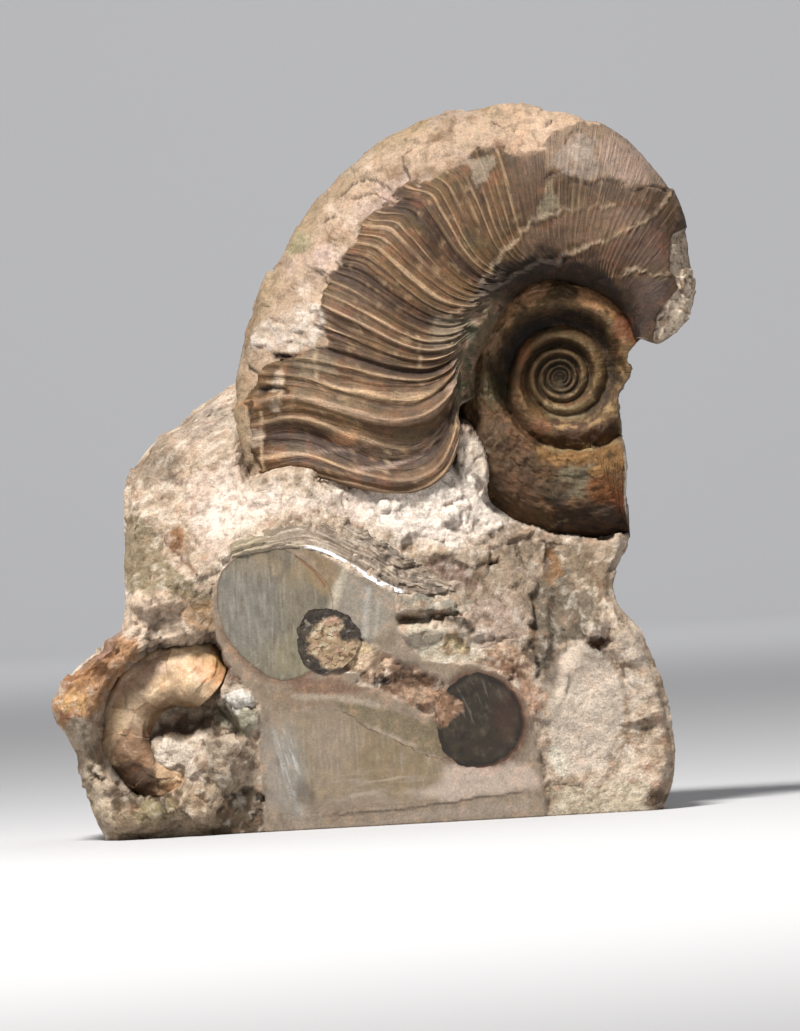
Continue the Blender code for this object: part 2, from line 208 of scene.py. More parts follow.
SHAPES = {"spot": spot, "line": line, "area": area}


def tint(red, green, blue):
    """A colour as an eye reads it (0 to 255), turned to the light values that a shader needs."""
    srgb = np.array((red, green, blue)) / 255.0
    return np.where(srgb <= 0.04045, srgb / 12.92, ((srgb + 0.055) / 1.055) ** 2.4)


def lay(colours, colour, amount):
    """Lays a colour over the others."""
    return mix(colours, tint(*colour), np.clip(amount, 0.0, 1.0)[..., None])


def in_front(x, z):
    """Points in the plane of the front, where the noise for flat things is read."""
    return np.stack((x, np.zeros_like(x), z), axis=-1)


def plain(colour, shape):
    """One colour for every point of a shape."""
    return np.broadcast_to(tint(*colour), (*shape, 3))


def cloudy(colours, points, layers, where=1.0):
    """Lays clouds of colour: each has a colour, size, octaves, seed, contrast, shift and strength."""
    for colour, size, octaves, seed, contrast, shift, strength in layers:
        cloud = ease(rough(points, size, octaves, seed) * contrast + shift)
        colours = lay(colours, colour, where * cloud * strength)
    return colours


def draw(colours, x, z, marks, ragged=0.5, seed=50, crisp=0.0):
    """Lays a list of marks over the colours. A mark is a kind, a colour, a strength and its shape.
    crisp breaks the soft edges up into small blotches."""
    places = in_front(x, z)
    blotch = 0.45 * rough(places, 1.4, 4, seed + 19) - 0.5
    sx = x + ragged * rough(places, 2.4, 3, seed)
    sz = z + ragged * rough(places, 2.4, 3, seed + 9)
    for kind, colour, strength, *shape in marks:
        if kind == "line":
            amount = line(mix(x, sx, 0.4), mix(z, sz, 0.4), *shape)
        else:
            amount = SHAPES[kind](sx, sz, *shape)
            amount = mix(amount, ease((amount + blotch) / 0.4 + 0.5) * ease(4.0 * amount), crisp)
        colours = lay(colours, colour, strength * amount)
    return colours


def sharp(colours, x, z, marks):
    """Lays marks whose edges stay as they are written."""
    for kind, colour, strength, *shape in marks:
        colours = lay(colours, colour, SHAPES[kind](x, z, *shape) * strength)
    return colours


# %% [markdown]
# ## From points to a piece
#
# Every piece here is a skin: a grid whose rows and sides are pulled over computed points, with its
# seams merged and its ends closed. `bmesh.ops.create_grid` gives the faces. The paint goes with the
# points as a colour attribute, and a second attribute says how polished the surface is.

# %% Skins


def normals_of(points):
    """Unit normals of a grid of points whose first and last side meet."""
    wrapped = np.concatenate((points[:, -2:-1], points, points[:, 1:2]), axis=1)
    along = np.gradient(wrapped, axis=0)[:, 1:-1]
    across = np.cross(along, np.gradient(wrapped, axis=1)[:, 1:-1])
    length = np.linalg.norm(across, axis=-1, keepdims=True)
    return across / np.maximum(length, 1e-9)


def skin(name, points, colours, polish=None, lie=None, crisp=False):
    """Pulls a grid over the points (rows, sides) and merges its seams. lie is the UV of each point.
    crisp keeps the edges of a flat plate sharp."""
    rows, sides = points.shape[0] - 1, points.shape[1] - 1
    polish = np.zeros(points.shape[:2]) if polish is None else polish
    lie = np.zeros((*points.shape[:2], 2)) if lie is None else lie
    cage = bmesh.new()
    bmesh.ops.create_grid(cage, x_segments=rows, y_segments=sides, size=1.0)
    paint = cage.verts.layers.float_color.new("paint")
    gloss = cage.verts.layers.float.new("polish")
    chart = cage.loops.layers.uv.new("lie")
    for vert in cage.verts:
        i = round((vert.co.x + 1.0) / 2.0 * rows)
        j = round((vert.co.y + 1.0) / 2.0 * sides)
        vert.co = points[i, j]
        vert[paint] = (*colours[i, j], 1.0)
        vert[gloss] = polish[i, j]
        for loop in vert.link_loops:
            loop[chart].uv = lie[i, j]
    bmesh.ops.remove_doubles(cage, verts=cage.verts, dist=0.0005)
    rims = [edge for edge in cage.edges if edge.is_boundary]
    if rims:
        caps = bmesh.ops.holes_fill(cage, edges=rims, sides=0)["faces"]
        bmesh.ops.poke(cage, faces=caps)
    bmesh.ops.recalc_face_normals(cage, faces=cage.faces)
    bmesh.ops.scale(cage, vec=(MM, MM, MM), verts=cage.verts)
    mesh = bpy.data.meshes.new(name)
    cage.to_mesh(mesh)
    cage.free()
    mesh.shade_smooth()
    if crisp:
        mesh.set_sharp_from_angle(angle=math.radians(35.0))
    piece = bpy.data.objects.new(name, mesh)
    bpy.context.scene.collection.objects.link(piece)
    triangles = sum(len(face.vertices) - 2 for face in mesh.polygons)
    print(f"{name}: {triangles} triangles")
    return piece


def closed_ends(points, rows):
    """Adds rows at both ends of a tube that run in to the middle of the end, so it can be rough."""
    ends = []
    for ring in (points[0], points[-1]):
        middle = ring.mean(axis=0)
        share = np.linspace(0.0, 1.0, rows, endpoint=False)[:, None, None]
        ends.append(middle + (ring - middle) * share)
    return np.concatenate((ends[0], points, ends[1][::-1]))


# %% [markdown]
# ## Stone finishes
#
# All pieces share one recipe. The paint attribute gives the colours that have a place. Noise in object
# coordinates adds what is everywhere: mottling, fine grain and dark specks of painted shade in the
# hollows of the grain. The polish attribute turns the surface from dry and grainy to smooth and shiny.
# Noise stretched along the piece's own UV map gives growth lines, which are too fine for the mesh.

# %% The finish recipe


def link(tree, source, target):
    tree.links.new(source, target)


def stone_noise(tree, coordinates, size, detail, roughness=0.6):
    node = tree.nodes.new("ShaderNodeTexNoise")
    node.inputs["Scale"].default_value = 1.0 / size
    node.inputs["Detail"].default_value = detail
    node.inputs["Roughness"].default_value = roughness
    link(tree, coordinates, node.inputs["Vector"])
    return node.outputs["Fac"]


def remap(tree, value, low, high, new_low, new_high):
    node = tree.nodes.new("ShaderNodeMapRange")
    for name, number in zip(("From Min", "From Max", "To Min", "To Max"), (low, high, new_low, new_high)):
        node.inputs[name].default_value = number
    link(tree, value, node.inputs["Value"])
    return node.outputs["Result"]


def multiply(tree, a, b):
    node = tree.nodes.new("ShaderNodeMath")
    node.operation = "MULTIPLY"
    for socket, value in zip(node.inputs, (a, b)):
        if isinstance(value, float):
            socket.default_value = value
        else:
            link(tree, value, socket)
    return node.outputs[0]


def shade(tree, colour, value):
    """Multiplies a colour by a grey value."""
    node = tree.nodes.new("ShaderNodeVectorMath")
    node.operation = "SCALE"
    link(tree, colour, node.inputs[0])
    link(tree, value, node.inputs["Scale"])
    return node.outputs[0]


def blend_colour(tree, colour, other, amount):
    node = tree.nodes.new("ShaderNodeMix")
    node.data_type = "RGBA"
    link(tree, amount, node.inputs["Factor"])
    link(tree, colour, node.inputs["A"])
    node.inputs["B"].default_value = (*tint(*other), 1.0)
    return node.outputs["Result"]


def finish(name, dry=0.85, shiny=0.22, mottle=0.2, grain=0.25, bump=0.5, cavity_shade=0.4,
           stain=(150, 110, 80), stained=0.25, lines=None, coat=0.0):
    """A stone material. bump is the height of the grain in millimetres, and cavity is how much painted
    shade darkens its hollows. lines are growth lines in the UV map: how many across, how many along, how
    strong."""
    material = bpy.data.materials.new(name)
    material.use_nodes = True
    tree = material.node_tree
    shader = tree.nodes["Principled BSDF"]
    place = tree.nodes.new("ShaderNodeTexCoord")
    to_mm = tree.nodes.new("ShaderNodeMapping")
    to_mm.inputs["Scale"].default_value = (1.0 / MM, 1.0 / MM, 1.0 / MM)
    link(tree, place.outputs["Object"], to_mm.inputs["Vector"])
    where = to_mm.outputs["Vector"]
    paint = tree.nodes.new("ShaderNodeAttribute")
    paint.attribute_name = "paint"
    gloss = tree.nodes.new("ShaderNodeAttribute")
    gloss.attribute_name = "polish"
    dull = remap(tree, gloss.outputs["Fac"], 0.0, 1.0, 1.0, 0.0)

    colour = paint.outputs["Color"]
    broad = stone_noise(tree, where, 2.2, 6.0, 0.65)
    relief = stone_noise(tree, where, 1.0, 10.0, 0.68)
    fine = stone_noise(tree, where, 0.28, 4.0, 0.7)
    colour = blend_colour(tree, colour, stain, remap(tree, broad, 0.54, 0.68, 0.0, stained))
    colour = shade(tree, colour, remap(tree, broad, 0.35, 0.65, 1.0 - mottle, 1.0 + mottle))
    colour = shade(tree, colour, remap(tree, fine, 0.35, 0.65, 1.0 - grain, 1.0 + grain))
    # Painted shade: the low parts of the grain noise are darkened where the surface is dull.
    hollow_shade = multiply(tree, remap(tree, relief, 0.34, 0.52, cavity_shade, 0.0), dull)
    colour = shade(tree, colour, remap(tree, hollow_shade, 0.0, 1.0, 1.0, 0.0))
    if lines:
        across, along, strength = lines
        chart = tree.nodes.new("ShaderNodeUVMap")
        chart.uv_map = "lie"
        stretch = tree.nodes.new("ShaderNodeMapping")
        stretch.inputs["Scale"].default_value = (across, along, 1.0)
        link(tree, chart.outputs["UV"], stretch.inputs["Vector"])
        striae = stone_noise(tree, stretch.outputs["Vector"], 1.0, 3.0, 0.65)
        shell = multiply(tree, remap(tree, gloss.outputs["Fac"], 0.38, 0.46, 0.0, 1.0),
                         remap(tree, striae, 0.35, 0.65, -strength, strength))
        colour = shade(tree, colour, remap(tree, shell, -1.0, 1.0, 0.0, 2.0))
        total = tree.nodes.new("ShaderNodeMath")
        total.operation = "MULTIPLY_ADD"
        link(tree, shell, total.inputs[0])
        total.inputs[1].default_value = 1.2
        link(tree, relief, total.inputs[2])
        relief = total.outputs[0]
    link(tree, colour, shader.inputs["Base Color"])
    link(tree, remap(tree, gloss.outputs["Fac"], 0.0, 1.0, dry, shiny), shader.inputs["Roughness"])
    link(tree, remap(tree, gloss.outputs["Fac"], 0.0, 1.0, 0.15, 0.5), shader.inputs["Specular IOR Level"])
    lumps = tree.nodes.new("ShaderNodeBump")
    lumps.inputs["Distance"].default_value = bump * MM
    link(tree, remap(tree, dull, 0.0, 1.0, 0.03, 1.0), lumps.inputs["Strength"])
    link(tree, relief, lumps.inputs["Height"])
    link(tree, lumps.outputs["Normal"], shader.inputs["Normal"])
    shader.inputs["Coat Weight"].default_value = coat
    shader.inputs["Coat Roughness"].default_value = 0.2
    return material


def dress(piece, material, slot, *nodes):
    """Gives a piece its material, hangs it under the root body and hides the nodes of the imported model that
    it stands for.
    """
    piece.data.materials.append(material)
    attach(piece, "root")
    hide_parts(*nodes)


# %% [markdown]
# ## The spiral of the big ammonite
#
# An ammonite grows by the same share with every turn, so its outline is a logarithmic spiral about the
# umbilicus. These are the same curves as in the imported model. The angle runs anticlockwise from +X as
# seen from the front. The last whorl goes from a fracture on the right, over the top, to its broken
# end at the lower left. Angles below zero are the turn before.

# %% Spiral
UMBILICUS = (28.7, 65.9)
WORN_ANGLE = 96.8
FIRST_ANGLE = 15.0
LAST_ANGLE = 196.2


def venter_radius(angle):
    inner = 25.1 * np.exp(0.137 * np.radians(angle + 93.2))
    worn = 1.0 - 6.57e-4 * np.maximum(0.0, WORN_ANGLE - angle) ** 1.5
    outer = 42.3 * np.exp(0.108 * np.radians(angle - 92.8)) * worn
    return np.where(angle < 0.0, inner, outer)


def dorsal_radius(angle):
    return venter_radius(angle - 360.0) * mix(0.92, 0.62, ease((angle - 95.0) / 80.0))


def half_thickness(angle):
    return mix(8.0, 13.2, ease((angle + 10.0) / 210.0))


# %% [markdown]
# ## Sickle ribs
#
# The ribs aren't straight spokes. Each leaves the inner shoulder backwards, swings forward over the
# inner flank and runs straight out to the rim. The swing grows towards the mouth of the shell. The rows
# of the grid follow this line, so one number, the row's angle, decides where a rib is. Ribs are 6 mm
# apart at the broken end and under 1 mm at the other, so their count is a running sum of
# 1 / spacing.

# %% Rib lines
SWING = (  # place on the flank (0 inner shoulder, 1 rim), share of the swing
    (0.0, 0.0), (0.03, 0.1), (0.06, 0.5), (0.12, 0.85), (0.19, 1.0), (0.26, 0.95), (0.36, 0.72),
    (0.45, 0.45), (0.58, 0.15), (0.7, -0.06), (0.85, -0.04), (1.0, 0.0),
)
REACH = (  # angle, swing in degrees, backward turn at the shoulder, forward hook at the rim
    (0.0, 0.3, 3.0, 0.0), (60.0, 0.4, 6.0, 0.0), (95.0, 0.6, 9.0, 0.0), (112.0, 1.4, 9.0, 1.5),
    (127.0, 2.4, 10.0, 5.0), (144.0, 3.4, 12.0, 2.5), (152.0, 4.4, 13.0, 1.0), (169.0, 6.0, 15.0, 0.0),
    (187.0, 10.0, 12.0, 0.0), (200.0, 9.5, 12.0, 0.0),
)
RIB_SPACING = (  # angle, degrees from rib to rib
    (0.0, 1.5), (50.0, 1.7), (90.0, 2.1), (112.0, 2.5), (130.0, 2.7), (150.0, 3.2), (170.0, 4.0),
    (185.0, 5.0), (220.0, 5.6),
)
RIB_HEIGHT = (
    (0.0, 0.0), (35.0, 0.03), (60.0, 0.16), (90.0, 0.26), (120.0, 0.46), (150.0, 0.66), (175.0, 0.95),
    (200.0, 1.1),
)
FOLDS = (  # angle, half width, height: broad waves under the ribs
    (98.2, 2.4, -0.8), (112.0, 3.0, 0.5), (126.8, 3.0, -1.25), (137.0, 4.0, 0.6), (150.3, 3.4, -1.2),
    (160.0, 3.0, 0.7), (169.5, 1.9, -0.7), (181.0, 2.2, 1.1), (187.5, 2.2, -0.9), (193.6, 1.7, 1.2),
    (199.5, 2.2, -0.8),
)


def rib_sweep(angle, flank):
    swing = curve(angle, REACH, 1) * curve(flank, SWING)
    hook = curve(angle, REACH, 3) * ease((flank - 0.58) / 0.16)
    return swing + hook - curve(angle, REACH, 2) * np.exp(-flank / 0.05)


def rib_count(angle):
    """How many ribs lie between angle 0 and this one."""
    steps = np.linspace(0.0, 215.0, 1200)
    counts = np.cumsum(1.0 / curve(steps, RIB_SPACING)) * (steps[1] - steps[0])
    return np.interp(angle, steps, counts)


def ridges(count, crest=0.62):
    """A row of ridges, one for each whole count. They rise slowly and drop fast."""
    share = count - np.floor(count)
    return np.where(share < crest, ease(share / crest), 1.0 - ease((share - crest) / (1.0 - crest)))


def waves(angle, table):
    """Sum of the waves in a table of angles, half widths and heights."""
    return sum(height * np.exp(-(((angle - at) / half_width) ** 2)) for at, half_width, height in table)


def whorl_place(angle, turn):
    """Points of the bare last whorl. turn goes from the rim (0) over the front to the inner edge (pi)."""
    lean = turn - 0.4 * np.sin(turn)
    across = 0.5 + 0.5 * np.cos(turn)
    flank = np.maximum(0.0, (across - 0.06) / 0.94)
    thick = -np.sign(np.sin(lean)) * np.abs(np.sin(lean)) ** mix(0.36, 0.7, across)
    end = 12.0 * np.exp(-(((flank - 0.3) / 0.35) ** 2)) * ease((angle - 165.0) / 31.0) ** 2
    first = 9.0 * np.exp(-((flank / 0.33) ** 2)) + 3.5 * ease((flank - 0.5) / 0.5)
    end = end + first * ease((50.0 - angle) / 35.0)
    at = np.radians(angle + rib_sweep(angle, flank) * ease((angle - FIRST_ANGLE) / 20.0) + end)
    radius = mix(dorsal_radius(angle), venter_radius(angle), across)
    depth = half_thickness(angle) * thick
    x, z = UMBILICUS[0] + radius * np.cos(at), UMBILICUS[1] + radius * np.sin(at)
    points = np.stack((x, depth, z), axis=-1)
    return points, flank, radius


# %% [markdown]
# ## Wear on the last whorl
#
# The outer third of the whorl has lost its shell and shows a rough cream cast. On the right the shell
# is broken in layers, whose thin edges face up and catch the light. Each edge is a line, and the side
# towards the coil stands a little higher. A block of pale rock is left at the right-hand end.

# %% Wear
CAST_EDGE = (  # angle, radius where the shell ends
    (0.0, 60.0), (68.0, 44.0), (76.0, 39.6), (84.0, 38.6), (88.0, 37.4), (91.5, 34.8), (102.8, 35.3),
    (114.0, 35.6), (122.0, 36.6), (132.5, 37.6), (138.4, 37.4), (143.8, 37.2), (150.2, 37.4),
    (158.0, 38.7), (163.0, 37.5), (169.0, 36.0), (172.4, 39.6), (173.8, 42.6), (180.0, 46.5),
    (197.0, 48.0), (215.0, 49.0),
)
LAYER_EDGES = (  # height of the step, its points from left to right
    (0.45, ((15.7, 78.1), (18.0, 79.3), (19.9, 80.4), (22.9, 82.1), (26.0, 83.4), (29.7, 83.4))),
    (0.5, ((17.5, 80.5), (18.5, 82.0), (20.5, 84.8), (22.9, 86.7), (24.3, 88.4), (25.9, 89.8),
           (27.8, 90.2), (31.0, 90.9), (35.6, 91.4), (38.0, 91.3))),
    (0.5, ((29.8, 84.0), (34.7, 85.7), (37.3, 86.2), (39.5, 87.6), (42.4, 88.3), (44.2, 89.6),
           (46.0, 92.1), (46.6, 93.5))),
    (0.4, ((39.3, 81.0), (41.4, 81.5), (43.7, 80.6), (46.5, 80.2))),
)
SHELL_CRACKS = (
    ((28.2, 95.8), (29.5, 96.6), (30.9, 96.9), (32.6, 95.1), (34.9, 94.7), (36.6, 95.3), (38.8, 94.9),
     (41.2, 93.4), (44.1, 93.9), (46.9, 93.1)),
    ((20.4, 105.4), (22.5, 104.8), (24.0, 105.2), (25.1, 104.7), (26.6, 104.0), (27.2, 102.1), (27.6, 100.9)),
    ((15.8, 99.5), (17.2, 99.9), (19.4, 100.3), (21.5, 101.4), (22.4, 101.0)),
    ((31.1, 101.2), (32.2, 102.6), (34.2, 102.9), (35.9, 101.9), (36.4, 100.6)),
)
CAST_ARCS = (
    ((-3.1, 95.4), (-1.2, 96.7), (1.2, 97.3), (3.0, 96.9), (4.2, 95.8)),
    ((-1.2, 94.4), (0.8, 95.1), (2.6, 95.1), (4.7, 93.8), (7.0, 92.0), (8.8, 90.4)),
    ((7.3, 97.2), (6.6, 98.7), (7.0, 100.4), (8.2, 101.3)),
    ((-6.2, 91.6), (-4.4, 92.3)),
)
SLOTS = (((-14.9, 71.5), (-11.5, 71.2)), ((-16.6, 66.3), (-14.6, 66.6), (-12.6, 65.9)))
RIGHT_ROCK = (
    (47.0, 86.4), (49.6, 87.6), (52.0, 82.5), (52.0, 76.0), (47.2, 70.0), (43.0, 68.0), (42.9, 71.4),
    (44.8, 75.5), (46.6, 78.2), (46.0, 81.9),
)
ROUGH_CAST = (
    (-18.8, 75.0), (-16.1, 76.8), (-12.8, 78.2), (-10.1, 79.8), (-6.8, 78.9), (-6.4, 75.4), (-8.7, 72.9),
    (-11.3, 71.8), (-15.1, 72.2), (-18.1, 72.7),
)


def layer_steps(x, z):
    """Height of the broken shell layers, and 1 along their bright upper edges."""
    height = np.zeros(x.shape)
    edge = np.zeros(x.shape)
    for step, points in LAYER_EDGES:
        distance, side = line_distance(x, z, points)
        below = ease(0.5 - side * distance / 0.35)
        height += step * below * np.exp(-((distance / 6.0) ** 2)) + 0.2 * np.exp(-((distance / 0.3) ** 2))
        edge = np.maximum(edge, np.exp(-((distance / 0.24) ** 2)))
    return height, edge


# %% Shape of the last whorl
WHORL_ROWS = 560
WHORL_SIDES = (96, 54)  # on the front and on the back
FRONT_POINT = (300, 40)  # row and side of a point that faces the front
END_ROWS = 14  # rows that close each broken end
RIM_SHAPE = (  # angle, half width, height: where the rim bulges or is worn down
    (119.0, 10.0, 1.1), (156.0, 12.0, -0.7), (24.0, 9.0, 1.2), (90.0, 8.0, -0.6),
)


def outward(points, front_point):
    """Unit normals of a tube's points, turned so that they point out of it."""
    out = normals_of(points)
    return out * np.sign(np.sum(out[front_point] * (0.0, -1.0, 0.0)))


def bare_whorl():
    """The whorl without ribs: its points and where each lies on it."""
    angle = np.linspace(FIRST_ANGLE, LAST_ANGLE, WHORL_ROWS)[:, None]
    front_turn = np.linspace(0.0, math.pi, WHORL_SIDES[0], endpoint=False)
    back_turn = np.linspace(math.pi, 2.0 * math.pi, WHORL_SIDES[1] + 1)
    angle, turn = np.broadcast_arrays(angle, np.concatenate((front_turn, back_turn))[None, :])
    bare, flank, radius = whorl_place(angle, turn)
    w = SimpleNamespace(angle=angle, bare=bare, flank=flank, radius=radius)
    w.x, w.z = bare[..., 0], bare[..., 2]
    w.front = ease(0.5 - bare[..., 1] / 3.0)
    return w


def add_ribs(w):
    """Ribs of three sizes, the broad folds under them, and how high both are."""
    w.wander = np.stack((w.angle / 6.0, w.flank * 2.0, 0 * w.flank), axis=-1)
    w.count = rib_count(w.angle) + 0.3 * noise(w.wander, 1.0, 3) + 0.1 * noise(w.wander * 3.0, 1.0, 4)
    own = scatter(np.stack((np.floor(w.count), 0 * w.count, 0 * w.count), axis=-1), 5)[..., 0]
    main = ridges(w.count, 0.7) * (0.8 + 0.4 * own)
    minor = ridges(w.count * 2.0 + 0.3 + 0.3 * own, 0.6)
    third = ridges(w.count * 4.0 + 0.7 * own, 0.55)
    inner_flank = 1.0 - ease((w.flank - 0.4) / 0.35)
    w.ribs = mix(0.5 * main + 0.45 * minor, 0.85 * main + 0.3 * minor, inner_flank) + 0.12 * third
    w.fold = waves(w.angle, FOLDS)
    w.size = curve(w.angle, RIB_HEIGHT) * (1.0 + 0.35 * noise(w.wander * 1.3, 1.0, 6))
    w.on_flank = ease((w.flank - 0.01) / 0.06) * (1.0 - 0.5 * ease((w.flank - 0.78) / 0.2))


def add_wear(w):
    """Where the shell is gone, its broken layers and its cracks."""
    bare, x, z = w.bare, w.x, w.z
    w.edge_noise = 0.8 * rough(bare, 5.0, 4, 11) + 1.3 * chips(bare, 5.0, 12)[0]
    w.past_edge = w.radius - curve(w.angle, CAST_EDGE) + w.edge_noise
    w.cast = ease(w.past_edge / 0.35 + 0.5) * mix(0.6, 1.0, w.front)
    steps, bright = layer_steps(x + 0.5 * rough(bare, 1.5, 3, 13), z + 0.5 * rough(bare, 1.5, 3, 14))
    w.steps = steps * w.front
    w.bright = bright * w.front * ease(0.75 + rough(bare, 2.0, 2, 15))
    w.rock_end = area(x + 0.4 * w.edge_noise, z, RIGHT_ROCK, 0.5) * w.front
    w.rough_cast = area(x + 0.5 * w.edge_noise, z, ROUGH_CAST, 0.8) * w.front
    w.bare_cast = np.maximum(w.cast, w.rock_end)
    w.shoulder = np.exp(-(((w.flank - 0.05) / 0.05) ** 2)) * w.front * ease((w.angle - 95.0) / 30.0)
    crack_z = z + 0.3 * rough(bare, 1.5, 3, 16)
    w.cracks = deepest(x + 0.3 * w.edge_noise, crack_z, SHELL_CRACKS + CAST_ARCS, 0.34)
    w.grain, w.grain_edge = chips(bare, 1.7, 31)
    w.slots = deepest(x + 0.3 * w.edge_noise, z + 0.2 * w.grain, SLOTS, 0.7)


def whorl_relief(w):
    """Height of the surface above the bare whorl."""
    bare = w.bare
    relief = (0.66 * w.ribs + w.fold * (1.0 - 0.5 * ease((w.flank - 0.6) / 0.3))) * w.size * w.on_flank
    relief = relief * (1.0 - w.bare_cast) + w.steps
    facets, _ = chips(bare, 5.0, 21)
    relief += w.bare_cast * (-0.55 + 0.5 * facets + 0.1 * w.grain + 0.6 * rough(bare, 7.0, 3, 41))
    relief += ease((w.flank - 0.6) / 0.3) * waves(w.angle, RIM_SHAPE)
    relief += w.rough_cast * (0.25 * w.grain + 0.2 * rough(bare, 1.1, 3, 45)) + w.rock_end * 0.3 * w.grain
    relief += 0.35 * rough(bare, 9.0, 2, 61) + 0.07 * rough(bare, 1.2, 3, 65)
    relief += w.shoulder * (0.5 * chips(bare, 2.4, 66)[0] + 0.35 * rough(bare, 1.6, 3, 67))
    return relief - w.front * (0.35 * w.cracks + 0.7 * w.slots)


# %% Marks on the last whorl
GREY_SPOTS = (
    ((16.0, 99.4), (20.7, 100.0), (21.2, 98.2), (19.3, 96.3), (17.4, 95.5)),
    ((30.6, 100.8), (33.3, 102.4), (35.8, 101.7), (36.2, 98.6), (35.6, 95.4), (32.7, 95.7), (30.0, 97.3),
     (29.0, 96.8), (29.2, 99.0)),
    ((28.0, 95.5), (29.2, 95.8), (29.5, 91.3), (28.2, 90.2), (26.2, 90.6)),
)
WHORL_MARKS = (
    ("area", (168, 142, 118), 0.75, ((22.5, 100.6), (28.0, 97.0), (31.0, 97.2), (34.9, 95.0),
                                     (38.8, 95.2), (41.2, 93.8), (47.5, 93.2), (45.5, 97.5),
                                     (39.0, 103.5), (30.0, 107.5), (22.0, 108.0)), 1.6),
    ("area", (186, 158, 138), 0.6, ((36.5, 96.0), (44.5, 94.4), (43.5, 98.5), (37.5, 103.0)), 1.2),
    ("area", (150, 122, 98), 0.6, ((24.5, 88.0), (30.0, 90.0), (38.0, 91.0), (44.0, 90.0), (40.0, 88.0),
                                   (30.5, 85.0), (23.0, 83.4)), 1.6),
    ("area", (94, 72, 54), 0.85, ((21.9, 100.1), (28.0, 100.4), (28.2, 95.8), (27.3, 92.2), (25.5, 89.7),
                                  (24.1, 89.2), (22.7, 94.0)), 0.8),
    ("area", (142, 128, 110), 0.75, GREY_SPOTS[0], 0.3),
    ("area", (166, 150, 136), 0.8, GREY_SPOTS[1], 0.8),
    ("area", (152, 140, 114), 0.7, GREY_SPOTS[2], 0.6),
    ("spot", (196, 178, 160), 0.8, (33.4, 99.6), (1.6, 1.2), 20.0, 0.8),
    ("area", (88, 65, 49), 0.7, ((38.6, 80.6), (46.3, 79.6), (44.9, 75.8), (42.6, 71.6),
                                 (38.8, 75.5)), 1.2),
    ("area", (104, 70, 56), 0.6, ((31.5, 84.0), (45.0, 88.5), (46.2, 82.2), (40.5, 82.0),
                                  (33.0, 82.6)), 1.2),
    ("spot", (178, 151, 135), 0.6, (40.5, 97.5), (4.5, 2.6), -35.0, 0.8),
    ("spot", (135, 128, 99), 0.7, (-10.4, 88.5), (2.4, 1.6), 40.0, 0.8),
    ("spot", (176, 158, 138), 0.6, (-14.0, 67.7), (1.4, 0.8), 70.0, 0.5),
    ("spot", (176, 158, 138), 0.6, (-14.7, 63.8), (1.3, 1.0), 30.0, 0.5),
    ("spot", (176, 158, 138), 0.6, (-18.0, 59.2), (1.3, 1.7), 0.0, 0.5),
    ("spot", (176, 133, 97), 0.7, (-4.5, 58.1), (1.8, 1.0), 0.0, 0.7),
    ("spot", (171, 131, 94), 0.6, (-18.6, 64.2), (2.4, 0.7), 0.0, 0.7),
    ("spot", (110, 97, 76), 0.6, (-8.2, 70.0), (3.2, 1.8), 0.0, 0.8),
    ("spot", (135, 121, 101), 0.5, (12.5, 73.2), (3.6, 3.0), 30.0, 0.9),
    ("line", (176, 152, 120), 0.7, ((1.4, 59.0), (1.9, 56.0), (1.5, 52.6)), 0.3, 0.9),
    ("line", (176, 152, 120), 0.6, ((7.2, 73.0), (7.6, 70.6), (7.2, 68.6)), 0.3, 0.9),
    ("line", (180, 156, 124), 0.6, ((-7.4, 73.0), (-8.3, 70.4), (-8.0, 67.6)), 0.3, 0.9),
    ("line", (180, 156, 124), 0.6, ((-13.0, 69.6), (-13.6, 66.8), (-13.2, 63.4)), 0.35, 0.9),
    ("line", (184, 160, 128), 0.6, ((-16.8, 63.0), (-17.2, 58.0), (-16.6, 53.4)), 0.4, 0.9),
    ("line", (206, 178, 158), 0.35, ((-3.0, 53.6), (2.0, 53.8), (6.6, 55.2), (10.6, 58.4),
                                     (13.0, 62.2)), 0.5, 0.9),
    ("line", (196, 166, 146), 0.3, ((-16.0, 57.0), (-10.0, 56.4), (-4.0, 56.6), (0.0, 57.6)), 0.4, 0.9),
    ("area", (72, 50, 40), 0.85, ((39.4, 80.2), (46.0, 79.4), (44.6, 76.0), (42.4, 72.0), (40.0, 71.6),
                                  (39.4, 75.5)), 1.2),
)

# %% [markdown]
# ## Colours of the last whorl
#
# The shell is brown, with painted shade between the ribs and painted highlights on their crests. The
# cast is cream. Each list below holds clouds of colour: a colour, size, octaves, seed, contrast, shift
# and strength.

# %% Colours of the last whorl
SHELL_CLOUDS = (
    ((126, 101, 71), 8.0, 4, 71, 1.3, 0.3, 0.8), ((86, 65, 52), 5.0, 4, 72, 1.5, 0.0, 0.6),
    ((103, 96, 72), 6.0, 3, 73, 1.6, -0.2, 0.5), ((129, 89, 64), 3.5, 4, 74, 1.6, -0.3, 0.5),
)
CAST_CLOUDS = (
    ((184, 165, 148), 6.0, 4, 81, 1.4, 0.0, 1.0), ((177, 153, 143), 9.0, 4, 83, 1.4, 0.0, 0.7),
    ((122, 96, 72), 4.0, 4, 91, 1.5, -0.15, 0.8),
)
RUBBLE_CLOUDS = (
    ((80, 78, 56), 3.0, 3, 94, 2.0, 0.0, 1.0), ((150, 124, 104), 2.0, 3, 95, 2.0, -0.3, 1.0),
    ((66, 50, 38), 1.6, 3, 96, 2.0, -0.4, 1.0),
)
SHELL_TONE = (0.67, 0.59, 0.49)


